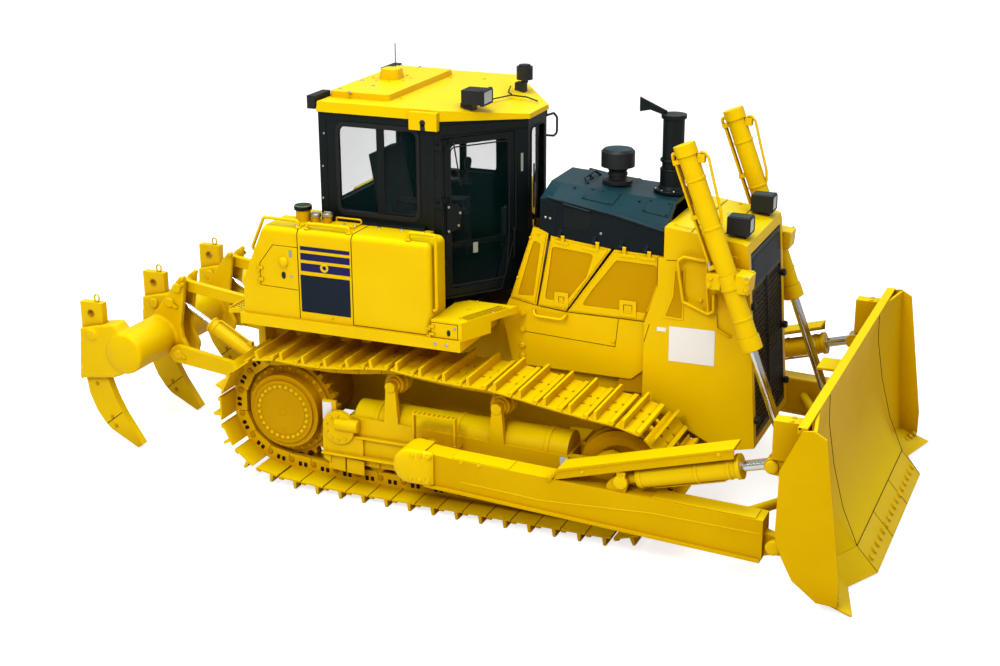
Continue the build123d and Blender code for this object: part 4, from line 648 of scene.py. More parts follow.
def dress_tanks():
    stripes = Piece("tank_stripes", STRIPE_BLUE)
    for low, high in ((2.159, 2.192), (2.075, 2.133), (1.978, 2.048)):
        stripes.side_slab(box(-1.21, -0.752, low, high), -TANK_FACE, -0.0015)
    stripes.fit_both_sides()
    side_plates("tank_bare_plates", BARE_BLACK, [box(-1.216, -0.757, 1.623, 1.944)], -TANK_FACE, -0.002)
    # Painted shade: dark lines for the tank's seams.
    seams = Piece("tank_seams", GAP_SHADE)
    for x in (-1.235, -0.735):
        seams.tube([(x, -TANK_FACE, 1.56), (x, -TANK_FACE, 2.33), (x, -0.88, 2.33)], 0.0035, 0.062, 8)
    strip_line(seams, [(-0.735, 1.561), (-0.04, 1.561)], TANK_FACE)
    seams.fit_both_sides()
    badge = Piece("tank_bare_badge", YELLOW)
    badge.turned((-0.989, -TANK_FACE, 2.023), RIGHTWARDS, [(0.038, 0.0), (0.038, 0.004), (0.034, 0.006),
        (0.021, 0.006), (0.018, 0.003)], open_ends=True)
    badge.fit_both_sides()
    centre = Piece("tank_badge_centre", STRIPE_BLUE)
    centre.turned((-0.989, -TANK_FACE, 2.023), RIGHTWARDS, [(0.02, 0.0), (0.02, 0.0025)], 24)
    centre.fit_both_sides()
    hatch = Piece("tank_lid_boss", YELLOW, "tank_lid")
    hatch.turned((-1.372, -1.229, 2.034), RIGHTWARDS, [(0.047, 0.0), (0.043, 0.012), (0.034, 0.021),
        (0.02, 0.026)])
    hatch.slab([(-1.415, -LID_FACE, 2.03), (-1.329, -LID_FACE, 2.03), (-1.352, -LID_FACE, 1.975),
        (-1.392, -LID_FACE, 1.975)], (0, -0.006, 0))
    hatch.fit(0.004)
    locks = Piece("tank_lid_lock", PLASTIC, "tank_lid")
    locks.slab([(-1.376 + 0.019 * cos(k * pi / 12), -LID_FACE,
        1.92 + 0.031 * sin(k * pi / 12)) for k in range(24)], (0, -0.004, 0))
    locks.fit()
    label = Piece("tank_lid_bare_label", BARE_GREY, "tank_lid")
    label.side_slab(box(-1.318, -1.29, 2.082, 2.142), -LID_FACE, -0.0015)
    label.fit()
    bolt("tank_lid", (-1.305, -1.2297, 1.919), RIGHTWARDS, 0.01, ZINC, 12)
    bolt("machine", (-0.935, -TANK_FACE, 1.597), RIGHTWARDS, 0.012, YELLOW)
    oval = Piece("box_lid_lock", PLASTIC, "box_lid")
    oval.slab([(0.131 + 0.015 * cos(k * pi / 12), -BOX_LID_FACE,
        1.603 + 0.026 * sin(k * pi / 12)) for k in range(24)], (0, -0.004, 0))
    oval.fit()
    bolt("box_lid", (0.186, -1.2397, 1.646), RIGHTWARDS, 0.01, ZINC, 12)
    blue_cap = Piece("fuel_cap", HOOD_BLUE)
    blue_cap.turned((-1.325, -0.945, 2.424), UPWARDS, [(0.076, 0.0), (0.076, 0.03), (0.07, 0.0385),
        (0.03, 0.0385)], 40)
    blue_cap.block((-1.342, -1.028, 2.432), (-1.308, -1.015, 2.452))
    blue_cap.fit(0.002)
    oil_caps = Piece("oil_caps", ZINC)
    for x, z, high in ((-1.205, 2.372, 0.03), (-1.095, 2.385, 0.032)):
        oil_caps.turned((x, -0.945, z), UPWARDS, [(0.045, 0.0), (0.045, high - 0.006), (0.04, high),
            (0.012, high)], 24)
        oil_caps.bar((x - 0.03, -0.945, z + high + 0.004), (x + 0.03, -0.945, z + high + 0.004), 0.006, 10)
    oil_caps.fit()
    trays = Piece("filler_tray", YELLOW)
    trays.block((-1.16, -1.06, 2.33), (-0.79, -1.05, 2.352))
    trays.block((-1.16, -0.9, 2.33), (-1.15, -0.88, 2.372))
    trays.block((-1.04, -1.02, 2.33), (-0.8, -0.89, 2.342))
    trays.tube([(-1.03, -0.91, 2.34), (-1.03, -0.91, 2.372), (-0.8, -0.91, 2.372), (-0.8, -0.91, 2.34)],
        0.008, 0.02)
    trays.fit(0.002)
    for x in (-1.02, -0.92, -0.82):
        bolt("machine", (x, -0.985, 2.342), UPWARDS, 0.011, ZINC if x > -1 else YELLOW)
    for x, y in ((-0.62, -0.94), (-0.42, -0.93), (-0.22, -0.94), (-0.1, -1.02), (-1.29, -1.13)):
        bolt("machine", (x, y, 2.33), UPWARDS, 0.013, ZINC)
    pads = Piece("rail_feet", YELLOW)
    for x in (-1.245, -1.164, -0.775, -0.238):
        pads.turned((x, -1.18, 2.329), UPWARDS, [(0.026, 0.0), (0.026, 0.008), (0.018, 0.013)], 20)
    pads.fit()


def dress_decks():
    places = ((0.143, 0.678), (0.159, 0.891), (0.369, 0.871), (-0.055, 1.104), (-0.091, 0.903), (0.2, 1.13))
    for x, y in places:
        bolts_both_sides("machine", [(x, -y, DECK_TOP)], UPWARDS, 0.012, ZINC if x > 0.36 else YELLOW)
    # Painted shade: dark strips in the slots between the grip ridges.
    slots = Piece("platform_grip_slots", GAP_SHADE)
    along = Vector((0.252, 0.585, 0.0)).normalized()
    back = Vector((-along.y, along.x, 0.0))
    for inset in (0.03, 0.062, 0.094):
        start = Vector((0.245, -1.24, DECK_TOP)) + back * inset + along * 0.1
        end = start + along * 0.42
        slots.slab([start - back * 0.005, end - back * 0.005, end + back * 0.005, start + back * 0.005],
            (0, 0, 0.0012))
    slots.fit_both_sides()
    teeth = Piece("platform_grip_ridges", YELLOW)
    for inset in (0.014, 0.046, 0.078, 0.11):
        start = Vector((0.245, -1.24, DECK_TOP)) + back * inset + along * 0.08
        teeth.slab([start - back * 0.004, start + along * 0.46 - back * 0.004,
            start + along * 0.46 + back * 0.004, start + back * 0.004], (0, 0, 0.006))
    teeth.fit_both_sides()
    for x in (0.02, 0.12):
        bolts_both_sides("machine", [(x, -1.26, 1.505)], RIGHTWARDS, 0.012, ZINC)
    lip = Piece("step_edge", YELLOW)
    lip.tube([(-1.99, -0.63, 1.527), (-1.99, -1.11, 1.527)], 0.01)
    lip.fit_both_sides()
    # Painted shade: the step's perforations are small dark domes.
    button = Piece("step_button", GAP_SHADE, None)
    button.turned((0, 0, 0), UPWARDS, [(1.0, 0.0), (0.9, 0.35), (0.5, 0.4)], 10)
    spots = []
    for row in range(6):
        for k in range(12):
            x, y = -1.985 + 0.033 * row, 0.64 + 0.04 * k + 0.02 * (row % 2)
            for side in (-1, 1):
                spots.append(((x, side * y, 1.521 + 0.125 * (x + 2.0)), (-0.12, 0, 1), (1, 0, 0), 0.008))
    repeat("step_perforation", "machine", button.fit(), spots)


# Cab

CAB_WALL = 0.85
ROOF_TOP, COVER_TOP = 3.33, 3.38
DOOR_ALONG = Vector((0.508, 0.639, 0.0)).normalized()
DOOR_OUT = Vector((DOOR_ALONG.y, -DOOR_ALONG.x, 0.0))


def on_door(along, z, out=0.0, side=-1):
    """A place on the wall of the right (-1) or left (1) cab door, measured from the cab's corner."""
    place = Vector((-0.093, -CAB_WALL, z)) + DOOR_ALONG * along + DOOR_OUT * out
    return place * Vector((1, -side, 1))


def dress_cab():
    seals = Piece("window_seals", RUBBER)
    outer = rounded_corners_box(-1.045, -0.278, 2.385, 3.178)
    hole = box(-1.012, -0.31, 2.424, 3.138)
    seals.pierced(outer, hole, -CAB_WALL, -0.009, 0.06)
    seals.fit_both_sides(0.003)
    frames = Piece("window_bars", CAB_BLACK)
    frames.block((-0.672, -0.848, 2.424), (-0.606, -0.828, 3.14))
    frames.block((-0.606, -0.846, 2.424), (-0.3, -0.83, 2.448))
    frames.block((-0.64, -0.852, 2.424), (-0.626, -0.847, 3.14))
    frames.fit_both_sides(0.003)
    places = ((-1.149, 3.067), (-1.169, 2.788), (-1.18, 2.513), (-0.172, 2.947), (-0.177, 2.674),
        (-0.137, 2.793), (-0.182, 2.427))
    for x, z in places:
        bolts_both_sides("machine", [(x, -CAB_WALL, z)], RIGHTWARDS, 0.01, ZINC if x < -1.14 else CAB_BLACK)
    ledge = Piece("cab_ledge", CAB_BLACK)
    ledge.slab([(-1.116, -0.848, 2.334), (-1.116, -0.905, 2.334), (-1.116, -0.905, 2.348),
        (-1.116, -0.848, 2.366)], (0.885, 0, 0))
    ledge.fit_both_sides(0.002)
    strips = Piece("cab_side_channels", CAB_BLACK)
    strips.side_slab(box(-1.196, -1.13, 2.3, 3.225), -0.849, -0.006)
    strips.side_slab(box(-0.215, -0.15, 2.3, 3.205), -0.849, -0.006)
    strips.side_slab([(-1.196, 3.19), (-0.15, 3.178), (-0.15, 3.205), (-1.196, 3.225)], -0.849, -0.005)
    strips.fit_both_sides(0.002)
    for side, name in ((-1, "cab_door_right"), (1, "cab_door_left")):
        turn = Vector((1, -side, 1))
        lock = Piece(name + "_lock_plate", CAB_BLACK, name)
        corners = [(0.045, 2.3), (0.165, 2.34), (0.185, 2.48), (0.15, 2.545), (0.045, 2.56)]
        lock.slab([on_door(along, z, side=side) for along, z in corners], DOOR_OUT * turn * 0.014)
        lock.fit(0.003)
        for along, z in ((0.06, 2.325), (0.15, 2.365), (0.165, 2.47), (0.06, 2.53)):
            bolt(name, on_door(along, z, 0.014, side=side), DOOR_OUT * turn, 0.008, ZINC)
        pull = Piece(name + "_pull", CAB_BLACK, name)
        for radius, places in (
                (0.006, ((0.16, 2.5, 0.0), (0.2, 2.52, 0.045), (0.235, 2.47, 0.045), (0.2, 2.43, 0.0))),
                (0.009, ((0.655, 2.28, 0.0), (0.655, 2.28, 0.05), (0.655, 2.02, 0.05), (0.655, 2.02, 0.0)))):
            pull.tube([on_door(*place, side=side) for place in places], radius, 0.03)
        pull.fit()
        seal = Piece(name + "_seal", RUBBER, name)
        glass_edge = [(0.088, 1.85), (0.6, 1.85), (0.635, 2.2), (0.635, 3.02), (0.088, 3.02)]
        seal.tube([on_door(a, z, -0.002, side=side) for a, z in glass_edge + glass_edge[:1]], 0.006, 0.05,
            8)
        seal.fit()
        gap = Piece(name + "_gap", RUBBER)
        gap.tube([on_door(a, z, 0.0, side=side) for a, z in ((0.018, 3.106), (0.018, 1.752), (0.56, 1.752),
            (0.697, 2.238), (0.697, 3.106), (0.018, 3.106))], 0.005, 0.02, 8)
        gap.fit()
        inner = Piece(name + "_inner_bar", CAB_BLACK, name)
        inner.slab([on_door(along, z, -0.034, side) for along, z in box(0.09, 0.63, 2.16, 2.21)],
            DOOR_OUT * turn * -0.012)
        inner.fit(0.003)
    label = Piece("post_bare_strip", BARE_GREY)
    label.slab([on_door(along, z) for along, z in box(0.745, 0.768, 2.747, 2.9)], DOOR_OUT * 0.002)
    label.fit()
    card = Piece("door_bare_card", BARE_GREY, "cab_door_right")
    card.slab([on_door(along, z, -0.02) for along, z in box(0.3, 0.345, 2.1, 2.19)], DOOR_OUT * 0.002)
    card.fit()
    header = Piece("door_header", CAB_BLACK)
    for side in (-1, 1):
        turn = Vector((1, -side, 1))
        header.slab([on_door(along, z, side=side) for along, z in ((0.0, 3.125), (0.81, 3.115),
            (0.81, 3.175), (0.0, 3.205))], DOOR_OUT * turn * 0.01)
    header.fit(0.003)
    grab = Piece("front_grab_handle", CAB_BLACK)
    grab.tube([(0.398, 0.24, 3.12), (0.428, 0.35, 3.122), (0.428, 0.43, 3.072), (0.428, 0.43, 2.935),
        (0.428, 0.35, 2.925), (0.398, 0.24, 2.95)], 0.01, 0.035)
    grab.fit()
    wiper = Piece("wipers", PLASTIC)
    wiper.tube([(0.42, -0.02, 3.1), (0.43, -0.02, 3.08), (0.43, -0.09, 2.62)], 0.006, 0.01)
    wiper.block((0.4165, -0.104, 2.4), (0.428, -0.092, 2.78))
    for side in (-1, 1):
        turn = Vector((1, -side, 1))
        wiper.tube([on_door(0.11, 3.06, 0.004, side=side), on_door(0.11, 3.05, 0.02, side=side),
            on_door(0.17, 2.7, 0.02, side=side)], 0.006, 0.01)
    wiper.fit()
    for y in (-0.62, 0.62):
        bolt("machine", (-1.2, y, 2.4), (-1, 0, 0), 0.012, CAB_BLACK)
        bolt("machine", (-1.2, y, 3.16), (-1, 0, 0), 0.012, CAB_BLACK)
    rear_seal = Piece("rear_window_seal", RUBBER)
    rear_seal.tube([(-1.201, y, z) for y, z in ((-0.62, 2.43), (0.62, 2.43), (0.62, 3.13), (-0.62, 3.13),
        (-0.62, 2.43))], 0.009, 0.06)
    rear_seal.fit()
    front_seal = Piece("windscreen_seal", RUBBER)
    front_seal.tube([(0.416, y, z) for y, z in ((-0.15, 2.15), (0.15, 2.15), (0.15, 3.09), (-0.15, 3.09),
        (-0.15, 2.15))], 0.008, 0.05)
    front_seal.fit()


def rounded_corners_box(x0, x1, z0, z1, bend=0.09):
    return [(place.x, place.y) for place in rounded_loop(box(x0, x1, z0, z1), bend)]


def dress_cab_inside():
    levers = Piece("cab_levers", PLASTIC)
    for side in (-1, 1):
        levers.turned((-0.42, side * 0.4, 2.418), (0.1, 0, 1), [(0.055, 0.0), (0.045, 0.03), (0.022, 0.06),
            (0.014, 0.08), (0.014, 0.13), (0.03, 0.15), (0.034, 0.21), (0.022, 0.24)], 20)
        levers.block((-0.72, side * 0.4 - 0.06, 2.418), (-0.5, side * 0.4 + 0.06, 2.45))
    levers.block((0.2, -0.15, 2.415), (0.235, 0.11, 2.6))
    levers.tube([(0.215, -0.02, 2.3), (0.225, -0.02, 2.43)], 0.018)
    levers.tube([(-0.55, 0.7, 3.2), (-0.55, 0.7, 3.02), (-0.52, 0.55, 2.95)], 0.012, 0.06)
    levers.block((-0.6, 0.42, 2.82), (-0.5, 0.6, 2.98))
    levers.fit(0.008)
    screen = Piece("monitor_glass", GLASS)
    screen.block((0.196, -0.135, 2.43), (0.1995, 0.095, 2.585))
    screen.fit()
    red = Piece("lock_lever", RED)
    red.tube([(-0.36, -0.5, 2.42), (-0.33, -0.52, 2.47), (-0.27, -0.52, 2.49)], 0.012, 0.02)
    red.fit()


def dress_roof():
    # Painted shade: a dark line for the roof's seam.
    seams = Piece("roof_seams", GAP_SHADE)
    seams.tube([(-0.902, -0.6, 3.3315), (-0.902, 0.6, 3.3315)], 0.0035)
    seams.fit()
    for x, y in ((-1.14, -0.55), (-1.14, -0.15), (-1.14, 0.3), (-1.14, 0.62), (-1.0, -0.66), (-0.95, 0.62),
            (-0.95, -0.32)):
        bolt("machine", (x, y, COVER_TOP), UPWARDS, 0.013, ZINC)
    for x, y in ((-0.6, -0.5), (-0.6, 0.5), (-0.3, 0.55)):
        bolt("machine", (x, y, ROOF_TOP), UPWARDS, 0.012, YELLOW)
    for k in range(8):
        angle = 2 * pi * k / 8 + 0.3
        bolt("machine", (-0.96 + 0.165 * cos(angle), 0.06 + 0.165 * sin(angle), COVER_TOP), UPWARDS, 0.009,
            YELLOW)
    for x in (-0.29, -0.225, -0.16):
        for side in (-1, 1):
            bolt("machine", (x, side * 0.84, 3.317), UPWARDS, 0.014, YELLOW)
    slot = Piece("roof_block_slots", PLASTIC)
    slot.block((-0.245, -0.9065, 3.17), (-0.205, -0.9, 3.222))
    slot.turned((-0.225, -0.9, 3.232), RIGHTWARDS, [(0.026, 0.0), (0.026, 0.0065)], 16)
    slot.fit_both_sides()
    lenses = Piece("roof_lamp_lenses", LENS)
    lenses.slab([(0.1955, -0.633, 3.362), (0.1955, -0.467, 3.362), (0.1955, -0.467, 3.456),
        (0.1955, -0.633, 3.456)], (0.004, 0, 0))
    for side in (-1, 1):
        lenses.slab([(-1.3095, side * 0.69 - 0.055, 3.272), (-1.3095, side * 0.69 + 0.055, 3.272),
            (-1.3095, side * 0.69 + 0.055, 3.352), (-1.3095, side * 0.69 - 0.055, 3.352)], (-0.003, 0, 0))
    lenses.fit(0.002)
    rims = Piece("roof_lamp_rims", PLASTIC)
    rims.tube([(0.197, y, z) for y, z in ((-0.642, 3.353), (-0.458, 3.353), (-0.458, 3.465),
        (-0.642, 3.465), (-0.642, 3.353))], 0.008, 0.02, 8)
    rims.fit()
    wire = Piece("roof_wire", RUBBER)
    wire.tube([(0.06, -0.46, 3.36), (0.03, -0.4, 3.335), (0.1, -0.2, 3.322), (0.16, 0.05, 3.312),
        (0.27, 0.13, 3.288), (0.36, 0.15, 3.255)], 0.006, 0.05, 8)
    wire.tube([(0.05, 0.3, 3.336), (0.11, 0.1, 3.324), (0.16, 0.05, 3.318)], 0.006, 0.05, 8)
    wire.fit()


# Hood and engine doors

# The plates' feet sit a little inside the hood's sides and the guard's, and just outside the doors'
HOOD_SIDE, DOOR_SIDE, GUARD_SIDE = 0.5195, 0.5205, 0.5597


def on_hood_slope(x, y, out=0.0):
    """A place on the hood's right slope."""
    share = (x - 0.74) / 0.53 if x < 1.27 else 1 + (x - 1.27) / 0.445
    if x < 1.27:
        crease, crown = 2.612 - 0.087 * share, 2.682 - 0.044 * share
    else:
        crease, crown = 2.525 - 0.102 * (share - 1), 2.638 - 0.026 * (share - 1)
    z = crown + (crease - crown) * (-y - 0.25) / 0.27 if y < -0.25 else crown
    return Vector((x, y, z + out))


def dress_hood():
    plates = Piece("hood_cover_plates", HOOD_BLUE)
    for corners in (((0.99, -0.262), (1.25, -0.262), (1.22, -0.42), (0.96, -0.42)),
            ((1.49, -0.268), (1.69, -0.268), (1.69, -0.4), (1.47, -0.4))):
        plates.slab([on_hood_slope(x, y) for x, y in corners], (0.005, -0.0015, 0.005))
    plates.fit_both_sides(0.001)
    for x, y in ((1.01, -0.28), (1.23, -0.28), (1.2, -0.405), (0.98, -0.405), (1.1, -0.28), (1.51, -0.285),
            (1.67, -0.285), (1.67, -0.385), (1.49, -0.385), (1.42, -0.31), (0.86, -0.3)):
        bolts_both_sides("machine", [tuple(on_hood_slope(x, y, 0.004))], (0.1, -0.3, 0.95), 0.009,
            HOOD_BLUE)
    creases = Piece("hood_crease_trim", HOOD_BLUE)
    creases.tube([on_hood_slope(0.7, -0.515, -0.006), on_hood_slope(1.27, -0.515, -0.006),
        on_hood_slope(1.71, -0.515, -0.006)], 0.018, 0.0, 12)
    creases.fit_both_sides()
    side_plates("hood_rear_band", HOOD_BLUE, [[(0.645, 2.36), (0.765, 2.322), (0.8, 2.56), (0.7, 2.6),
        (0.645, 2.585)]], -HOOD_SIDE, -0.005, 0.003)
    side_plates("hood_side_dish", CAB_BLACK, [rounded_corners_box(0.85, 1.085, 2.375, 2.545, 0.08)],
        -HOOD_SIDE, -0.002)
    rail = Piece("hood_grab_rails", HOOD_BLUE)
    rail.tube([(0.835, -0.515, 2.575), (0.845, -0.537, 2.578), (1.075, -0.537, 2.536),
        (1.085, -0.515, 2.532)], 0.009, 0.02)
    rail.tube([(0.905, -0.02, 2.668), (0.885, 0.02, 2.705), (0.885, 0.13, 2.705), (0.93, 0.16, 2.668)],
        0.009, 0.03)
    rail.fit_both_sides()
    for x, y, z in ((0.69, 0.525, 2.449), (0.73, 0.525, 2.443), (1.168, 0.52, 2.357)):
        bolts_both_sides("machine", [(x, -y, z)], RIGHTWARDS, 0.008, ZINC)
    rings = Piece("stack_clamps", CAB_BLACK)
    for z in (2.8, 2.88, 3.235):
        rings.turned((1.6, 0, z), UPWARDS, band(0.1, 0.004, 0.006, 0.026), 40)
    rings.turned((1.6, 0, 2.645), UPWARDS, [(0.15, 0.0), (0.146, 0.01), (0.118, 0.016), (0.11, 0.04)], 40)
    rings.bar((1.515, -0.03, 3.262), (1.515, 0.03, 3.262), 0.014)
    rings.fit(0.001)
    for k in range(8):
        angle = 2 * pi * (k + 0.5) / 8
        bolt("machine", (1.6 + 0.132 * cos(angle), 0.132 * sin(angle), 2.654), UPWARDS, 0.01, ZINC)
    bands = Piece("pre_cleaner_bands", PLASTIC)
    bands.turned((1.13, 0, 2.724), UPWARDS, band(0.078, 0.004, 0.004, 0.024), 32)
    bands.fit()
    top = Piece("pre_cleaner_top", HOOD_BLUE)
    top.turned((1.13, 0, 2.9445), UPWARDS, [(0.12, 0.0), (0.105, 0.004), (0.05, 0.006)], 40)
    top.fit()


# For each door: its outline, its recess and the box of its latch, all in (x, z)
DOOR_SKINS = {
    "engine_door_mid": (
        [(0.64, 1.695), (0.868, 1.676), (1.232, 2.222), (0.748, 2.276)],
        [(0.69, 1.745), (0.878, 1.752), (1.05, 1.978), (1.112, 2.176), (0.752, 2.206), (0.735, 2.06)],
        (0.797, 0.874, 1.716, 1.798)),
    "engine_door_front": (
        [(0.915, 1.672), (1.548, 1.672), (1.652, 1.992), (1.652, 2.208), (1.29, 2.216)],
        [(1.015, 1.732), (1.578, 1.732), (1.655, 1.948), (1.65, 2.14), (1.308, 2.15), (1.1, 1.868)],
        (1.363, 1.464, 1.7, 1.797))}
HINGE_LEAVES = {
    "engine_door_mid": (((0.775, 2.272), (0.895, 2.258)), ((1.015, 2.245), (1.145, 2.23))),
    "engine_door_front": (((1.335, 2.213), (1.475, 2.21)), ((1.5, 2.209), (1.64, 2.206)))}
CORNER_SKIN = [(0.396, 1.738), (0.6, 1.7), (0.698, 2.298), (0.652, 2.32), (0.585, 2.328)]
CORNER_HOLE = [(0.446, 1.752), (0.586, 1.762), (0.648, 2.218), (0.592, 2.24), (0.56, 2.15)]


def dress_doors():
    for name, (outline, hole, (x0, x1, z0, z1)) in DOOR_SKINS.items():
        for side, hand in ((1, "_right"), (-1, "_left")):
            def sided(piece):
                if side < 0:
                    for vertex in piece.mesh.verts:
                        vertex.co.y = -vertex.co.y
                return piece
            skin = Piece(name + hand + "_skin", YELLOW, name + hand)
            skin.pierced(outline, hole, -HOOD_SIDE, -0.0075, 0.03)
            sided(skin).fit(0.002)
            leaves = Piece(name + hand + "_hinge_leaves", YELLOW, name + hand)
            for (start_x, start_z), (end_x, end_z) in HINGE_LEAVES[name]:
                leaves.side_slab([(start_x, start_z - 0.03), (end_x, end_z - 0.03), (end_x, end_z - 0.004),
                    (start_x, start_z - 0.004)], -0.5268, -0.005)
            sided(leaves).fit(0.002)
            # Painted shade: the recess inside the door's skin is a sheet of the shaded yellow.
            panel = Piece(name + hand + "_recess", SHADED_YELLOW, name + hand)
            panel.side_slab([(place.x, place.y) for place in rounded_loop(hole, 0.03)], -HOOD_SIDE, -0.001)
            sided(panel).fit()
            latch = Piece(name + hand + "_latch", YELLOW, name + hand)
            latch.pierced(box(x0 - 0.022, x1 + 0.022, z0 - 0.022, z1 + 0.022),
                box(x0 + 0.012, x1 - 0.012, z0 + 0.01, z1 - 0.012), -DOOR_SIDE, -0.012, 0.004)
            latch.side_slab(box(x0 + 0.018, x1 - 0.018, z0 + 0.03, z1 - 0.018), -DOOR_SIDE, -0.008)
            sided(latch).fit(0.002)
            # Painted shade: a dark strip for the shade in the latch's slot.
            dark = Piece(name + hand + "_latch_slot", GAP_SHADE, name + hand)
            dark.side_slab(box(x0 + 0.016, x1 - 0.016, z0 + 0.012, z0 + 0.028), -DOOR_SIDE, -0.006)
            sided(dark).fit()
    corner = Piece("corner_panel_skins", YELLOW)
    corner.pierced(CORNER_SKIN, CORNER_HOLE, -HOOD_SIDE, -0.0075, 0.02)
    corner.fit_both_sides(0.002)
    # Painted shade: a sheet of the shaded yellow in the corner panel's recess, and dark strips in the gap
    # behind it.
    side_plates("corner_panel_recesses", SHADED_YELLOW,
        [[(place.x, place.y) for place in rounded_loop(CORNER_HOLE, 0.02)]], -HOOD_SIDE, -0.001)
    side_plates("corner_gap_strips", GAP_SHADE, [box(0.585, 0.77, 2.235, 2.42)], -0.47, 0.004)
    side_bolts(((0.632, 2.3), (0.448, 1.905), (0.56, 2.262)), 0.526, 0.01)


def dress_side_panels():
    # Painted shade: the skirts wear the shaded yellow and the panel's seams are dark lines.
    side_plates("side_panel_skirts", SHADED_YELLOW, [[(1.3, 1.02), (1.62, 1.02), (1.62, 1.26), (1.4, 1.26)]],
        -0.5, 0.004)
    lid = Piece("side_panel_lines", GAP_SHADE)
    strip_line(lid, [(0.465, 1.44), (1.308, 1.405), (1.332, 1.65)], 0.52)
    lid.fit_both_sides()
    grip = Piece("side_panel_grips", YELLOW)
    grip.tube([(0.594, -0.515, 1.64), (0.6, -0.56, 1.636), (0.625, -0.575, 1.606), (0.85, -0.575, 1.6),
        (0.88, -0.56, 1.63), (0.883, -0.515, 1.634)], 0.011, 0.03)
    grip.fit_both_sides()
    side_bolts(((0.491, 1.591), (0.487, 1.451), (0.487, 1.31), (0.487, 1.219)), 0.52, 0.022, YELLOW, 16)
    bolts_both_sides("machine", [(1.288, -0.52, 1.448)], RIGHTWARDS, 0.013)


# Radiator guard, grille, lamps and yokes

def dress_guard():
    # Painted shade: dark lines for the guard's seams.
    lines = Piece("guard_lines", GAP_SHADE)
    strip_line(lines, [(1.737, 2.207), (1.832, 2.215)], 0.56)
    strip_line(lines, [(2.147, 2.171), (2.293, 2.187), (2.42, 2.194)], 0.56)
    strip_line(lines, [(1.608, 1.651), (1.423 + 0.145, 1.5)], 0.56)
    lines.fit_both_sides()
    # Painted shade: the guard's recesses are sheets of the shaded yellow.
    side_plates("guard_recesses", SHADED_YELLOW, [[(1.815, 2.125), (1.881, 2.133), (1.879, 1.735),
        (1.742, 1.738), (1.806, 1.911)]], -GUARD_SIDE, -0.001)
    rim = Piece("guard_recess_rims", YELLOW)
    rim.pierced([(1.8, 2.15), (1.895, 2.155), (1.893, 1.718), (1.718, 1.722), (1.79, 1.915)],
        [(1.815, 2.125), (1.881, 2.133), (1.879, 1.735), (1.742, 1.738), (1.806, 1.911)], -GUARD_SIDE,
        -0.005, 0.008)
    rim.fit_both_sides(0.002)
    sign = Piece("guard_bare_signs", BARE_WHITE)
    sign.side_slab([(1.777, 1.361), (2.159, 1.363), (2.159, 1.665), (1.777, 1.657)], -GUARD_SIDE, -0.0022)
    sign.side_slab(box(1.673, 1.751, 1.604, 1.64), -GUARD_SIDE, -0.0018)
    sign.fit_both_sides()
    hooks = Piece("guard_lifting_eyes", YELLOW)
    hooks.pierced(rounded_corners_box(2.225, 2.32, 2.17, 2.3, 0.03), box(2.252, 2.292, 2.215, 2.268),
        -GUARD_SIDE, -0.014, 0.02)
    hooks.fit_both_sides(0.002)
    # Painted shade: a black sheet fills the lifting eyes' holes.
    side_plates("guard_eye_holes", PLASTIC, [box(2.254, 2.29, 2.217, 2.266)], -GUARD_SIDE, -0.001)
    rods = Piece("guard_thin_rods", YELLOW)
    rods.tube([(2.085, -0.612, 2.248), (2.089, -0.612, 2.04), (2.112, -0.612, 1.82)], 0.01)
    rods.tube([(2.16, -0.565, 1.8), (2.175, -0.58, 1.69), (2.27, -0.58, 1.638), (2.29, -0.565, 1.64)],
        0.008, 0.03)
    rods.fit_both_sides()
    side_bolts(((1.905, 1.905), (2.03, 1.905), (2.045, 1.83)), 0.56, 0.016)


GRILLE_LEAN = atan2(2.518 - 2.404, 2.3 - 0.76)
GRILLE_OUT = Vector((cos(GRILLE_LEAN), 0.0, sin(GRILLE_LEAN)))
GRILLE_RISE = Vector((-sin(GRILLE_LEAN), 0.0, cos(GRILLE_LEAN)))


def on_grille(y, up, away=0.0):
    """A place on the leaning grille, measured up from its foot."""
    return Vector((2.488, y, 0.764)) + GRILLE_RISE * up + GRILLE_OUT * away


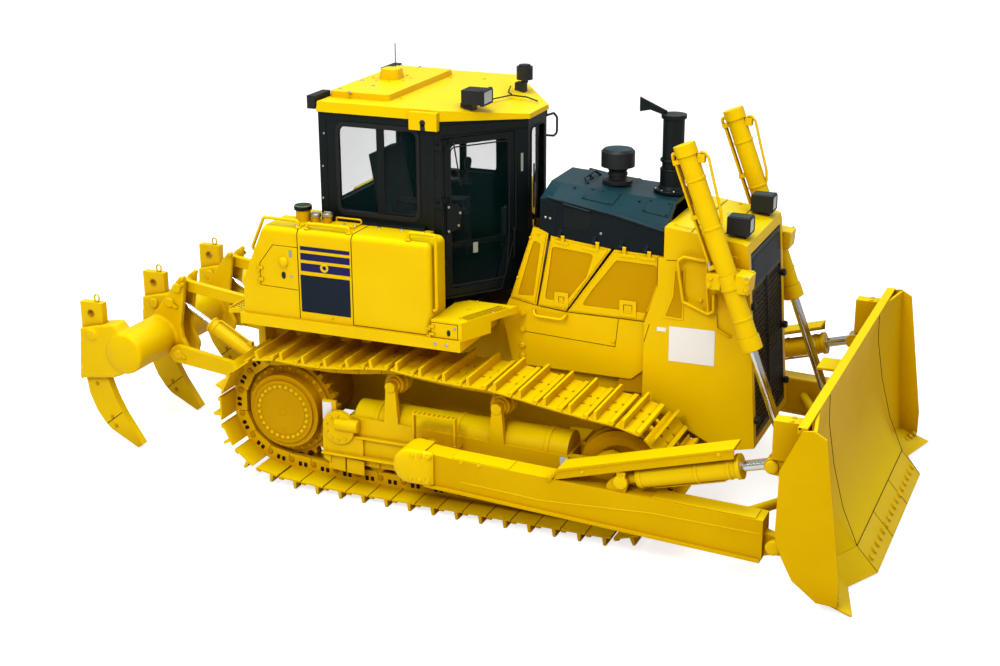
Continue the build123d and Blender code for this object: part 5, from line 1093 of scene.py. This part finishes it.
def dress_grille():
    out = GRILLE_OUT
    plate = Piece("grille_bare_plate", BARE_BLACK)
    plate.slab([on_grille(-0.43, 1.26, 0.0262), on_grille(0.43, 1.26, 0.0262),
        on_grille(0.43, 1.49, 0.0262), on_grille(-0.43, 1.49, 0.0262)], out * 0.003)
    plate.fit(0.002)
    mesh = Piece("grille_wires", PLASTIC)
    low, high, edge, slope, half = 0.055, 1.232, 0.462, 0.62, 0.0045
    for k in range(60):
        middle = low - edge * slope + k * 0.0285
        start = max(-edge, (middle - high) / slope)
        end = min(edge, (middle - low) / slope)
        if end - start > 0.02:
            corners = [(start, middle - start * slope - half), (end, middle - end * slope - half),
                (end, middle - end * slope + half), (start, middle - start * slope + half)]
            mesh.slab([on_grille(y, up, 0.0205) for y, up in corners], out * 0.004)
    mesh.fit()
    bar = Piece("grille_centre_bar", CAB_BLACK)
    bar.slab([on_grille(-0.006, 0.05, 0.0262), on_grille(0.006, 0.05, 0.0262),
        on_grille(0.006, 1.24, 0.0262), on_grille(-0.006, 1.24, 0.0262)], out * 0.005)
    bar.fit(0.001)
    knobs = Piece("grille_knobs", PLASTIC)
    for side in (-1, 1):
        for up in (0.16, 0.66, 1.12):
            knobs.turned(on_grille(side * 0.505, up, -0.02), out, [(0.02, 0.0), (0.02, 0.045), (0.03, 0.05),
                 (0.032, 0.075), (0.022, 0.086)], 20)
    knobs.fit()
    stalks = Piece("grille_latches", YELLOW)
    for side in (-1, 1):
        for up in (0.14, 0.64, 1.1):
            stalks.slab([on_grille(side * 0.535, up - 0.03, 0.0), on_grille(side * 0.482, up - 0.03, 0.0),
                on_grille(side * 0.482, up, 0.0), on_grille(side * 0.535, up, 0.0)], out * 0.028)
    stalks.fit(0.002)
    for side in (-1, 1):
        for up in (0.03, 0.4, 0.9, 1.25):
            bolt("machine", on_grille(side * 0.538, up, -0.004), out, 0.013)


def dress_front_lamps():
    # Painted reflection: thin hood-blue plates on the lamp boxes' tops stand for the sky reflected there.
    sky_reflection_plates = Piece("lamp_tops", HOOD_BLUE)
    for side in (-1, 1):
        sky_reflection_plates.block((2.215, side * 0.375 - 0.055, 2.58), (2.365, side * 0.375 + 0.055, 2.583))
        sky_reflection_plates.block((2.195, side * 0.375 - 0.072, 2.558), (2.215, side * 0.375 + 0.072, 2.583))
    sky_reflection_plates.fit(0.001)
    lenses = Piece("front_lamp_lenses", LENS)
    for side in (-1, 1):
        lenses.block((2.369, side * 0.375 - 0.062, 2.458), (2.3735, side * 0.375 + 0.062, 2.562))
    lenses.fit(0.002)
    rims = Piece("front_lamp_rims", PLASTIC)
    for side in (-1, 1):
        corners = [(2.372, side * 0.375 + y, z) for y, z in ((-0.07, 2.45), (0.07, 2.45), (0.07, 2.57),
            (-0.07, 2.57), (-0.07, 2.45))]
        rims.tube(corners, 0.007, 0.02, 8)
    rims.fit()


def dress_guard_top():
    # Painted shade: dark lines for the seams on the guard's top.
    top_seam = Piece("guard_top_lines", GAP_SHADE)
    for x in (2.165, 1.93):
        z = 2.48 - (x - 1.715) * 0.12
        top_seam.tube([(x, -0.555, z), (x, 0.555, z)], 0.003, 0.0, 8)
    top_seam.fit()
    for x, y in ((1.78, 0.45), (1.86, 0.25), (2.05, 0.5), (2.05, 0.15), (1.8, 0.05), (2.27, 0.2)):
        bolts_both_sides("machine", [(x, -y, 2.48 - (x - 1.715) * 0.12)], (0.12, 0, 1), 0.013,
            ZINC if y < 0.2 else YELLOW)
    caps = Piece("guard_top_plates", YELLOW)
    caps.slab([(1.76, -0.47, 2.4745), (1.92, -0.47, 2.455), (1.92, -0.12, 2.455), (1.76, -0.12, 2.4745)],
        (0.0006, 0, 0.005))
    caps.fit_both_sides(0.001)


LIFT_DOWN = Vector((0.35671, 0.0, -0.93422))
LIFT_AHEAD = Vector((0.93422, 0.0, 0.35671))


def lift_place(side, along, across=0.0, aside=0.0):
    """A place on a lift cylinder: along its axis from the yoke's shaft down, ahead of it and outwards."""
    yoke = Vector((2.3, side * 0.72, 2.14))
    return yoke + LIFT_DOWN * along + LIFT_AHEAD * across + Vector((0, side * aside, 0))


def dress_lift_gear():
    for side, name in ((-1, "lift_barrel_right"), (1, "lift_barrel_left")):
        gear = Piece(name + "_fittings", YELLOW, name)
        down = (lift_place(side, 1) - lift_place(side, 0)).normalized()
        gear.turned(lift_place(side, -1.131), down, [(0.006, 0.0), (0.06, 0.0), (0.084, 0.012),
            (0.0885, 0.022)], 40, True)
        gear.tube([lift_place(side, -1.02, 0.075), lift_place(side, -1.04, 0.13),
            lift_place(side, -0.98, 0.155), lift_place(side, -0.8, 0.135), lift_place(side, -0.55, 0.112),
            lift_place(side, -0.46, 0.084)], 0.011, 0.05)
        gear.tube([lift_place(side, -1.06, -0.07), lift_place(side, -1.09, -0.115),
            lift_place(side, -1.0, -0.125)], 0.013, 0.04)
        for along in (-0.86, -0.46, 0.3):
            gear.turned(lift_place(side, along), down, band(0.079, 0.0045, 0.003, 0.024), 40, True)
        gear.block(lift_place(side, -0.99, 0.095) - Vector((0.022, 0.03, 0.03)),
            lift_place(side, -0.99, 0.1) + Vector((0.03, 0.03, 0.03)))
        gear.turned(lift_place(side, 0.57), down, [(0.086, -0.004), (0.086, 0.0), (0.06, 0.01),
            (0.05, 0.012)], 40, True)
        gear.fit(0.002)
        ends = Piece(name + "_pipe_ends", ZINC, name)
        for spread in (-0.02, 0.02):
            ends.bar(lift_place(side, -0.19, -0.108, spread), lift_place(side, -0.13, -0.108, spread),
                0.016, 12)
        ends.fit()
        for k in range(8):
            angle = 2 * pi * (k + 0.5) / 8
            arm = LIFT_AHEAD * cos(angle) + Vector((0, 1, 0)) * sin(angle)
            bolt(name, lift_place(side, -1.12) + arm * 0.07, -down, 0.008)
        for x, z in ((2.45, 2.165), (2.445, 2.1), (2.165, 2.165), (2.15, 2.105)):
            bolt(name, (x, side * 0.783, z), (0, side, 0), 0.016)
        bolt(name, (2.45, side * 0.783, 2.2), (0, side, 0), 0.009, ZINC, 12)


# Tracks and their frames

# What the chain's pins run round: centre (x, z), radius to the pins, and how far the span after it sags
CHAIN_WHEELS = [((-1.48, 0.655), 0.468, 0.045), ((-0.44, 1.048), 0.137, 0.018),
    ((0.52, 0.989), 0.137, 0.012), ((1.57, 0.564), 0.414, 0.0), ((-0.97, 0.307), 0.157, 0.0)]
LINK_COUNT = 41
GROUND_PIN_Z = 0.15
FIRST_PIN_X = -1.246
TRACK_Y = 1.0
SHOE_FACE = 0.082


def chain_path():
    """Points of the pins' closed line round the wheels, with the sag of each free span."""
    angles = []
    following = CHAIN_WHEELS[1:] + CHAIN_WHEELS[:1]
    for ((x0, z0), radius, _), ((x1, z1), next_radius, _) in zip(CHAIN_WHEELS, following):
        run = hypot(x1 - x0, z1 - z0)
        angles.append(atan2(z1 - z0, x1 - x0) + pi / 2 + asin((next_radius - radius) / run))
    path = []
    for k, ((x0, z0), radius, sag) in enumerate(CHAIN_WHEELS):
        first, last = angles[k - 1], angles[k]
        while last > first:
            last -= 2 * pi
        count = max(2, int((first - last) / radians(2)))
        for step in range(count + 1):
            angle = first + (last - first) * step / count
            path.append((x0 + radius * cos(angle), z0 + radius * sin(angle)))
        if sag:
            (x1, z1), next_radius, _ = CHAIN_WHEELS[k + 1]
            start = Vector(path[-1])
            end = Vector((x1 + next_radius * cos(last), z1 + next_radius * sin(last)))
            for t in (step / 20 for step in range(1, 20)):
                place = start.lerp(end, t)
                path.append((place.x, place.y - 4 * sag * t * (1 - t)))
    return path + path[:1]


def track_pins():
    """The chain's pins (x, z), evenly spaced, in order from the rear of the ground run."""
    path = chain_path()
    marks = [0.0]
    for (x0, z0), (x1, z1) in zip(path, path[1:]):
        marks.append(marks[-1] + hypot(x1 - x0, z1 - z0))
    on_ground = [k for k, (x, z) in enumerate(path) if z < GROUND_PIN_Z + 0.001]
    start = min(on_ground, key=lambda k: path[k][0])
    shift = marks[start] - (FIRST_PIN_X - path[start][0])
    pins = []
    for link in range(LINK_COUNT):
        reach = (shift + marks[-1] * link / LINK_COUNT) % marks[-1]
        k = next(k for k, mark in enumerate(marks[1:]) if mark >= reach)
        t = (reach - marks[k]) / (marks[k + 1] - marks[k])
        (x0, z0), (x1, z1) = path[k], path[k + 1]
        pins.append((round(x0 + (x1 - x0) * t, 4), round(z0 + (z1 - z0) * t, 4)))
    return pins


def dress_tracks():
    pins = track_pins()
    # Painted shade: pin ends and shoe bolts wear the shaded yellow; the shoes' nut windows and the links'
    # joints are dark patches.
    pin_end = Piece("pin_end", SHADED_YELLOW, None)
    pin_end.turned((0, 0, 0), UPWARDS, [(1.3, -0.05), (1.3, 0.16), (1.0, 0.22), (1.0, 0.42), (0.8, 0.48)],
        14)
    nut_window = Piece("nut_window", GAP_SHADE, None)
    nut_window.slab([(-0.6, -0.8, 0), (0.6, -0.8, 0), (0.7, 0.5, 0), (0.3, 0.9, 0), (-0.3, 0.9, 0),
        (-0.7, 0.5, 0)], (0, 0, 0.06))
    joint = Piece("link_joint", GAP_SHADE, None)
    joint.slab([(-0.9, -0.05, 0), (0.9, -0.05, 0), (0.9, 0.05, 0), (-0.9, 0.05, 0)], (0, 0, 0.05))
    lip = Piece("shoe_lip", YELLOW, None)
    lip.slab([(-8.0, -0.5, -0.1), (8.0, -0.5, -0.1), (8.0, 0.4, -0.1), (-8.0, 0.4, -0.1)], (0, 0.25, 0.55))
    ends, windows, joints, lips = [], [], [], []
    for (x0, z0), (x1, z1) in zip(pins, pins[1:] + pins[:1]):
        along = Vector((x1 - x0, 0.0, z1 - z0))
        pitch = along.length
        along.normalize()
        out = Vector((-along.z, 0.0, along.x))
        start = Vector((x0, 0.0, z0))
        if (start + out - Vector((0.0, 0.0, 0.65))).length < (start - Vector((0.0, 0.0, 0.65))).length:
            out = -out
        for side in (-1, 1):
            for rail in (1, -1):
                y = side * (TRACK_Y + rail * 0.098)
                face = (0, side * rail, 0)
                ends.append((tuple(start + Vector((0, y, 0))), face, tuple(along), 0.021))
                for share in (0.36, 0.6):
                    spot = start + along * pitch * share + out * 0.022 + Vector((0, y, 0))
                    windows.append((tuple(spot), face, tuple(along), 0.025))
                spot = start + along * 0.026 + out * 0.004 + Vector((0, y, 0))
                joints.append((tuple(spot - out * 0.03), face, tuple(out), 0.03))
            for y in (-0.085, 0.085):
                for share in (0.42, 0.74):
                    spot = start + along * pitch * share + out * SHOE_FACE
                    spot.y = side * (TRACK_Y + y)
                    bolt("machine", tuple(spot), tuple(out), 0.0115, SHADED_YELLOW, 4)
            front = start + along * (pitch - 0.014) + out * SHOE_FACE + Vector((0, side * TRACK_Y, 0))
            lips.append((tuple(front), tuple(out), tuple(Vector((0, 1, 0))), 0.0405))
    repeat("track_pin_ends", "machine", pin_end.fit(), ends)
    repeat("track_nut_windows", "machine", nut_window.fit(), windows)
    repeat("track_link_joints", "machine", joint.fit(), joints)
    repeat("track_shoe_lips", "machine", lip.fit(), lips)


def dress_sprockets():
    bolts_both_sides("machine", [(-1.48 + 0.234 * cos(2 * pi * k / 27), -1.1765,
        0.655 + 0.234 * sin(2 * pi * k / 27)) for k in range(27)], RIGHTWARDS, 0.0135, YELLOW, 14)
    # Painted shade: the hubs, plugs and idler faces wear the shaded yellow.
    rims = Piece("hub_rims", SHADED_YELLOW)
    rims.turned((-1.48, -1.174, 0.655), RIGHTWARDS, [(0.262, -0.022), (0.268, 0.0), (0.262, 0.004),
        (0.256, 0.004), (0.254, -0.014)], 60, True)
    rims.turned((-1.48, -1.1745, 0.655), RIGHTWARDS, [(0.213, -0.01), (0.209, 0.003), (0.195, 0.0045),
        (0.06, 0.0055), (0.045, 0.003)], 60)
    rims.fit_both_sides()
    plug = Piece("hub_plugs", SHADED_YELLOW)
    plug.turned((-1.48, -1.176, 0.655), RIGHTWARDS, [(0.032, 0.0), (0.03, 0.005), (0.018, 0.006)], 24)
    plug.turned((-1.475, -1.178, 0.512), RIGHTWARDS, [(0.019, 0.0), (0.017, 0.005), (0.009, 0.006)], 20)
    plug.fit_both_sides()
    segment_bolts = [(-1.48 + 0.368 * cos(2 * pi * (k + 0.5) / 27), -1.058,
        0.655 + 0.368 * sin(2 * pi * (k + 0.5) / 27)) for k in range(27)]
    bolts_both_sides("machine", segment_bolts, RIGHTWARDS, 0.015)
    idler = Piece("idler_faces", SHADED_YELLOW)
    idler.turned((1.57, -1.0915, 0.564), RIGHTWARDS, [(0.3, 0.0), (0.296, 0.004), (0.235, 0.0045),
        (0.225, 0.001)], 48)
    idler.fit_both_sides()


def dome(piece, outline, y, steps):
    """A swelling on a side face at -y: (share of the outline, height) steps."""
    centre = sum((Vector(corner) for corner in outline), Vector((0.0, 0.0))) / len(outline)
    rings = []
    for share, high in steps:
        rings.append([piece.mesh.verts.new((centre.x + (x - centre.x) * share, -y - high,
            centre.y + (z - centre.y) * share)) for x, z in outline])
    piece.face_strip(rings)


def dress_track_frames():
    covers = Piece("pivot_covers", YELLOW)
    covers.turned((-0.92, -1.2195, 0.61), RIGHTWARDS, [(0.15, 0.0), (0.148, 0.006), (0.142, 0.009),
        (0.07, 0.01)], 48)
    covers.turned((-0.945, -1.215, 0.645), (1, 0, 0), [(0.052, 0.0), (0.056, 0.01), (0.056, 0.205),
        (0.05, 0.215), (0.044, 0.217)], 28)
    covers.fit_both_sides(0.002)
    ring = [(-0.92 + 0.112 * cos(2 * pi * (k + 0.5) / 10), -1.228,
        0.61 + 0.112 * sin(2 * pi * (k + 0.5) / 10)) for k in (1, 2, 3, 4, 5, 6, 7, 8)]
    bolts_both_sides("machine", ring, RIGHTWARDS, 0.013)
    caps = Piece("roller_end_caps", YELLOW)
    for k in range(7):
        x = -0.97 + 0.35 * k
        caps.side_slab([(x - 0.05, 0.268), (x + 0.05, 0.268), (x + 0.054, 0.335), (x + 0.03, 0.372),
            (x - 0.03, 0.372), (x - 0.054, 0.335)], -1.1495, -0.016)
        caps.turned((x, -1.164, 0.322), RIGHTWARDS, [(0.03, 0.0), (0.028, 0.008), (0.016, 0.009)], 20)
    caps.fit_both_sides(0.003)
    ledges = Piece("frame_ledges", YELLOW)
    ledges.block((-1.09, -1.236, 0.352), (-0.33, -1.178, 0.372))
    ledges.block((-0.33, -1.205, 0.345), (1.08, -1.178, 0.362))
    ledges.side_slab([(-1.05, 0.36), (-0.7, 0.352), (-0.7, 0.52), (-0.8, 0.56), (-1.05, 0.56)], -1.179,
        -0.022)
    ledges.block((-0.76, -1.215, 0.53), (0.0, -1.179, 0.552))
    ledges.fit_both_sides(0.004)
    guards = Piece("roller_guards", YELLOW)
    guards.side_slab([(-1.05, 0.205), (-0.885, 0.195), (-0.885, 0.33), (-1.03, 0.338)], -1.172, -0.014)
    guards.side_slab([(-0.872, 0.19), (-0.705, 0.185), (-0.705, 0.318), (-0.872, 0.326)], -1.172, -0.014)
    guards.block((-0.35, -1.186, 0.196), (1.15, -1.172, 0.3))
    guards.fit_both_sides(0.003)
    for k in range(6):
        bolts_both_sides("machine", [(-0.25 + 0.27 * k, -1.186, 0.25)], RIGHTWARDS, 0.014)
    side_plates("frame_rear_plates", YELLOW, [[(-1.088, 0.3), (-1.02, 0.262), (-1.0, 0.54), (-1.05, 0.6),
        (-1.088, 0.56)]], -1.181, -0.016, 0.003)
    side_plates("frame_bare_labels", BARE_WHITE, [box(-1.088, -0.998, 0.655, 0.815),
        box(1.075, 1.145, 0.537, 0.65)], -1.1805, -0.0025)
    side_plates("label_brackets", YELLOW, [box(-1.091, -0.96, 0.56, 0.83)], -1.15, -0.0302, 0.003)
    rings = Piece("carrier_end_rings", YELLOW)
    for x, z in ((-0.44, 1.032), (0.52, 0.982)):
        rings.turned((x, -1.1, z), RIGHTWARDS, [(0.062, 0.0), (0.062, 0.022), (0.052, 0.026)], 32)
        rings.turned((x, -1.18, z), RIGHTWARDS, [(0.048, 0.0), (0.046, 0.012), (0.03, 0.014)], 24)
    rings.fit_both_sides()
    for x in (-0.164, 0.204):
        for z in (0.59, 0.65):
            bolts_both_sides("machine", [(x + 0.004, -1.322, z)], RIGHTWARDS, 0.01)
    tubes = Piece("recoil_tube_bands", YELLOW)
    for x in (-0.62, 0.12, 0.92):
        tubes.turned((x, -1.0, 0.645), (1, 0, 0), band(0.166, 0.006, 0.006, 0.046), 48)
    tubes.fit_both_sides()


# Push beams and blade

def dress_beams():
    caps = Piece("trunnion_caps", YELLOW, "push_frame")
    outline = [(-0.06 + 0.15 * cos(radians(a)), 0.56 + 0.15 * sin(radians(a))) for a in range(90, 271, 12)]
    outline += [(0.13, 0.412), (0.148, 0.43), (0.148, 0.69), (0.13, 0.708)]
    dome(caps, outline, 1.6, [(1.0, -0.004), (0.99, 0.018), (0.94, 0.034), (0.84, 0.044), (0.6, 0.052),
        (0.25, 0.055)])
    caps.block((0.06, -1.622, 0.424), (0.148, -1.598, 0.692))
    caps.fit_both_sides(0.004, 50)
    places = [(-0.028, 0.664), (0.044, 0.672), (0.112, 0.668), (-0.04, 0.47), (0.036, 0.462), (0.104, 0.46)]
    seats = Piece("trunnion_bolt_seats", YELLOW, "push_frame")
    for x, z in places:
        seats.turned((x, -1.612, z), RIGHTWARDS, [(0.03, 0.0), (0.03, 0.026), (0.024, 0.03)], 20)
    seats.fit_both_sides()
    bolts_both_sides("push_frame", [(x, -1.642, z) for x, z in places], RIGHTWARDS, 0.019)
    lines = Piece("beam_creases", YELLOW, "push_frame")
    for (x0, z0), (x1, z1) in (((0.375, 0.482), (1.08, 0.441)), ((1.08, 0.441), (1.972, 0.49)),
            ((1.972, 0.49), (2.85, 0.47))):
        lines.side_slab([(x0, z0 - 0.006), (x1, z1 - 0.006), (x1, z1 + 0.006), (x0, z0 + 0.006)], -1.5985,
            -0.005)
    lines.slab([(0.3, -1.412, 0.6715), (0.793, -1.412, 0.6535), (0.793, -1.588, 0.6535),
        (0.3, -1.588, 0.6715)], (0.0002, 0, 0.006))
    lines.slab([(1.978, -1.412, 0.61), (2.8, -1.412, 0.58), (2.8, -1.588, 0.58), (1.978, -1.588, 0.61)],
        (0.0002, 0, 0.008))
    lines.fit_both_sides(0.002)
    side_bolts(((0.386, 0.655), (0.54, 0.65)), 1.6, 0.013, body="push_frame")
    for x, z, radius in ((1.148, 0.66, 0.014), (1.182, 0.7, 0.014), (2.5, 1.068, 0.016),
            (1.42, 0.745, 0.012)):
        bolts_both_sides("push_frame", [(x, -1.608, z)], RIGHTWARDS, radius)
    pins = Piece("beam_pin_heads", YELLOW, "push_frame")
    pins.turned((1.725, -1.584, 0.7), RIGHTWARDS, [(0.058, 0.0), (0.058, 0.012), (0.05, 0.017),
        (0.03, 0.018)], 32)
    pins.side_slab([(1.7, 0.735), (1.76, 0.735), (1.768, 0.79), (1.692, 0.79)], -1.584, -0.012)
    pins.fit_both_sides(0.002)
    bolts_both_sides("push_frame", [(1.73, -1.596, 0.768)], RIGHTWARDS, 0.013)
    ears = Piece("blade_pin_heads", YELLOW, "blade")
    ears.turned((2.94, -1.577, 0.362), RIGHTWARDS, [(0.06, 0.0), (0.06, 0.014), (0.052, 0.02),
        (0.03, 0.021)], 32)
    ears.turned((2.9, -1.579, 1.02), RIGHTWARDS, [(0.052, 0.0), (0.052, 0.012), (0.044, 0.018),
        (0.024, 0.019)], 32)
    ears.turned((2.888, -0.779, 0.6), RIGHTWARDS, [(0.055, 0.0), (0.055, 0.012), (0.047, 0.018),
        (0.03, 0.019)], 32)
    ears.fit_both_sides()
    for x, z in ((2.972, 0.362), (2.9, 1.052)):
        bolts_both_sides("blade", [(x + 0.02, -1.579, z + 0.06)], RIGHTWARDS, 0.014)
    for side, name in ((-1, "tilt_barrel_right"), (1, "tilt_barrel_left")):
        along = Vector((1.175, 0.0, 0.32)).normalized()
        start = Vector((1.725, side * 1.5, 0.7))
        gland = Piece(name + "_gland", YELLOW, name)
        for reach in (0.14, 0.6, 0.86):
            gland.turned(start + along * reach, along, band(0.088, 0.0065, 0.004, 0.03), 40, True)
        across = Vector((-along.z, 0.0, along.x))
        gland.tube([start + along * 0.22 - across * 0.087, start + along * 0.25 - across * 0.103,
            start + along * 0.8 - across * 0.103, start + along * 0.84 - across * 0.087], 0.009, 0.02)
        gland.fit(0.002)
        for k in range(8):
            angle = 2 * pi * (k + 0.5) / 8
            arm = across * cos(angle) + Vector((0, 1, 0)) * sin(angle)
            bolt(name, start + along * 0.893 + arm * 0.068, along, 0.008)


BLADE_FOOT, BLADE_TIP = Vector((3.472, 0.0, 0.216)), Vector((3.646, 0.0, 0.017))
WING_START = 1.012


def dress_blade():
    out = Vector((0.753, 0.0, 0.658))
    middle = BLADE_FOOT * 0.42 + BLADE_TIP * 0.58
    for k in range(16):
        y = -0.94 + 1.88 * k / 15
        bolt("blade", middle + Vector((0, y, 0)), out, 0.022, EDGE_YELLOW, 16)
    # Painted shade: dark lines for the seams between the cutting edges.
    rows = Piece("edge_seams", GAP_SHADE, "blade")
    for y in (-1.01, -0.335, 0.335, 1.01):
        rows.tube([BLADE_FOOT + Vector((0.002, y, -0.004)), BLADE_TIP + Vector((-0.004, y, 0.006))], 0.003,
            0.0, 6)
    rows.tube([BLADE_FOOT + Vector((0.0, -1.01, 0.0)), BLADE_FOOT + Vector((0.0, 1.01, 0.0))], 0.0035, 0.0,
        6)
    rows.fit()
    for y, x, z in ((1.5, 3.408, 0.095), (1.58, 3.428, 0.095), (1.66, 3.447, 0.095), (1.74, 3.466, 0.095)):
        for side in (-1, 1):
            bolt("blade", (x, side * y, z), (0.55, 0, 0.9), 0.02, EDGE_YELLOW, 16)
    welds = Piece("blade_welds", YELLOW, "blade")
    welds.tube([(3.03, -1.792, 0.6), (3.03, -1.792, 1.09)], 0.01)
    welds.tube([(3.135, -1.79, 1.44), (3.135, 1.79, 1.44)], 0.0095)
    welds.fit()
    # Painted shade: dark discs for the side plates' holes.
    holes = Piece("side_plate_holes", GAP_SHADE, "blade")
    holes.turned((3.245, -1.8085, 1.345), RIGHTWARDS, [(0.028, 0.0), (0.026, 0.0012)], 24)
    holes.fit_both_sides()
    # Painted shade: dark lines for the wing seams.
    seams = Piece("wing_seams", GAP_SHADE, "blade")
    for side in (-1, 1):
        seams.tube([(3.4735, side * WING_START, 0.2165), (3.344, side * WING_START, 0.52),
            (3.255, side * WING_START, 0.86), (3.196, side * WING_START, 1.21),
            (3.1915, side * WING_START, 1.43)], 0.003, 0.1, 6)
    seams.fit()
    for side in (-1, 1):
        for y in (1.5, 1.58):
            bolt("blade", (3.03, side * y, 1.4), UPWARDS, 0.016)


# Ripper

def cast_beam():
    """The ripper's beam with the rounded corners of its castings."""
    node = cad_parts["ripper_beam"]
    mesh = bmesh.new()
    mesh.from_mesh(node.data)
    bmesh.ops.remove_doubles(mesh, verts=mesh.verts[:], dist=0.0001)
    data = bpy.data.meshes.new("ripper_beam_casting")
    mesh.to_mesh(data)
    mesh.free()
    made = bpy.data.objects.new("ripper_beam_casting", data)
    scene.collection.objects.link(made)
    remesh = made.modifiers.new("even faces", "REMESH")
    remesh.mode, remesh.voxel_size, remesh.use_smooth_shade = "VOXEL", 0.0125, True
    smooth = made.modifiers.new("cast corners", "SMOOTH")
    smooth.iterations, smooth.factor = 5, 0.5
    depsgraph = bpy.context.evaluated_depsgraph_get()
    cast = bpy.data.meshes.new_from_object(made.evaluated_get(depsgraph))
    made.modifiers.clear()
    made.data = cast
    cast.materials.clear()
    cast.materials.append(YELLOW)
    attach(made, "ripper_beam")
    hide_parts("ripper_beam")


def dress_ripper():
    cast_beam()
    ends = Piece("beam_end_covers", YELLOW, "ripper_beam")
    for side in (-1, 1):
        ends.turned((-3.145, side * 1.09, 0.935), (0, side, 0), [(0.186, 0.0), (0.182, 0.012),
            (0.172, 0.018), (0.06, 0.02)], 48)
    ends.fit(0.0, 50)
    keepers = Piece("pin_keepers", YELLOW, "ripper_beam")
    for x, z, y, turn in ((-2.902, 0.804, 0.606, -20), (-2.9, 1.428, 0.553, 35),
            (-2.988, 1.28, 0.553, -30)):
        for side in (-1, 1):
            place = Vector((x, side * y, z))
            keepers.turned(place, (0, side, 0), [(0.046, -0.012), (0.046, 0.006), (0.038, 0.012),
                (0.02, 0.012)], 28)
            arm = Vector((cos(radians(turn)), 0, sin(radians(turn))))
            across = Vector((-arm.z, 0, arm.x))
            foot = place + arm * 0.062 + Vector((0, side * -0.004, 0))
            keepers.slab([foot - arm * 0.045 - across * 0.02, foot + arm * 0.032 - across * 0.014,
                foot + arm * 0.032 + across * 0.014, foot - arm * 0.045 + across * 0.02],
                (0, side * 0.012, 0))
            bolt("ripper_beam", foot + arm * 0.012 + Vector((0, side * 0.008, 0)), (0, side, 0), 0.014)
    keepers.fit(0.003)
    rings = Piece("shank_lifting_rings", YELLOW, "ripper_beam")
    for y in (-1.0, 0.0, 1.0):
        loop = [(-3.455 + 0.026 * cos(2 * pi * k / 12), y,
            1.402 + 0.034 * sin(2 * pi * k / 12)) for k in range(13)]
        rings.tube(loop, 0.008, 0.0, 10)
    rings.fit(0.0, 60)
    # Painted shade: the pin bushes and the shanks' bolts wear the shaded yellow.
    holes = Piece("shank_pin_bushes", SHADED_YELLOW, "ripper_beam")
    for y in (-1.0, 0.0, 1.0):
        for side in (-1, 1):
            holes.turned((-3.505, y + side * 0.0375, 1.262), (0, side, 0), [(0.038, 0.0), (0.038, 0.003),
                (0.031, 0.003), (0.03, -0.01)], 28, True)
    holes.fit()
    heads = Piece("shank_pin_heads", YELLOW, "ripper_beam")
    for y in (-1.0, 0.0, 1.0):
        for side in (-1, 1):
            heads.turned((-3.475, y + side * 0.094, 1.079), (0, side, 0), [(0.05, 0.0), (0.05, 0.012),
                (0.04, 0.02), (0.024, 0.021)], 28)
    heads.fit()
    # Painted shade: dark lines for the seams of the shank tips.
    tips = Piece("shank_tip_seams", GAP_SHADE, "ripper_beam")
    for y in (-1.0, 0.0, 1.0):
        for side in (-1, 1):
            outer = y + side * 0.0382
            tips.slab([(-3.425, outer, 0.2), (-3.25, outer, 0.335), (-3.254, outer, 0.34),
                (-3.429, outer, 0.205)], (0, side * 0.0012, 0))
    tips.fit()
    for y in (-1.0, 0.0, 1.0):
        for side in (-1, 1):
            for x, z in ((-3.366, 0.278), (-3.33, 0.194), (-3.5, 0.585)):
                bolt("ripper_beam", (x, y + side * 0.038, z), (0, side, 0), 0.014, SHADED_YELLOW, 14)
    barrels = Piece("ripper_barrel_bands", YELLOW, "ripper_barrels")
    run = Vector((-2.988 + 2.14, 0.0, 1.28 - 0.79)).normalized()
    over = Vector((run.z, 0.0, -run.x))
    if over.z < 0:
        over = -over
    for side in (-1, 1):
        start = Vector((-2.14, side * 0.42, 0.79))
        for reach in (0.1, 0.5, 0.548):
            barrels.turned(start + run * reach, run, band(0.07, 0.0065, 0.004, 0.024), 36, True)
        barrels.tube([start + run * 0.14 + over * 0.068, start + run * 0.16 + over * 0.09,
            start + run * 0.5 + over * 0.09, start + run * 0.52 + over * 0.068], 0.01, 0.02)
        barrels.block(start + run * 0.15 + over * 0.08 - Vector((0.025, 0.022, 0.02)),
            start + run * 0.15 + over * 0.08 + Vector((0.025, 0.022, 0.02)))
    barrels.fit(0.002)
    pins = Piece("rear_frame_pins", YELLOW)
    for side in (-1, 1):
        pins.turned((-2.1, side * 0.606, 0.7), (0, side, 0), [(0.046, -0.01), (0.046, 0.008),
            (0.036, 0.014), (0.02, 0.014)], 28)
    pins.fit()


add_camera()
dress_nodes()
dress_tanks()
dress_decks()
dress_cab()
dress_cab_inside()
dress_roof()
dress_hood()
dress_doors()
dress_side_panels()
dress_guard()
dress_grille()
dress_front_lamps()
dress_guard_top()
dress_lift_gear()
dress_tracks()
dress_sprockets()
dress_track_frames()
dress_beams()
dress_blade()
dress_ripper()
fit_bolts()
add_stage()
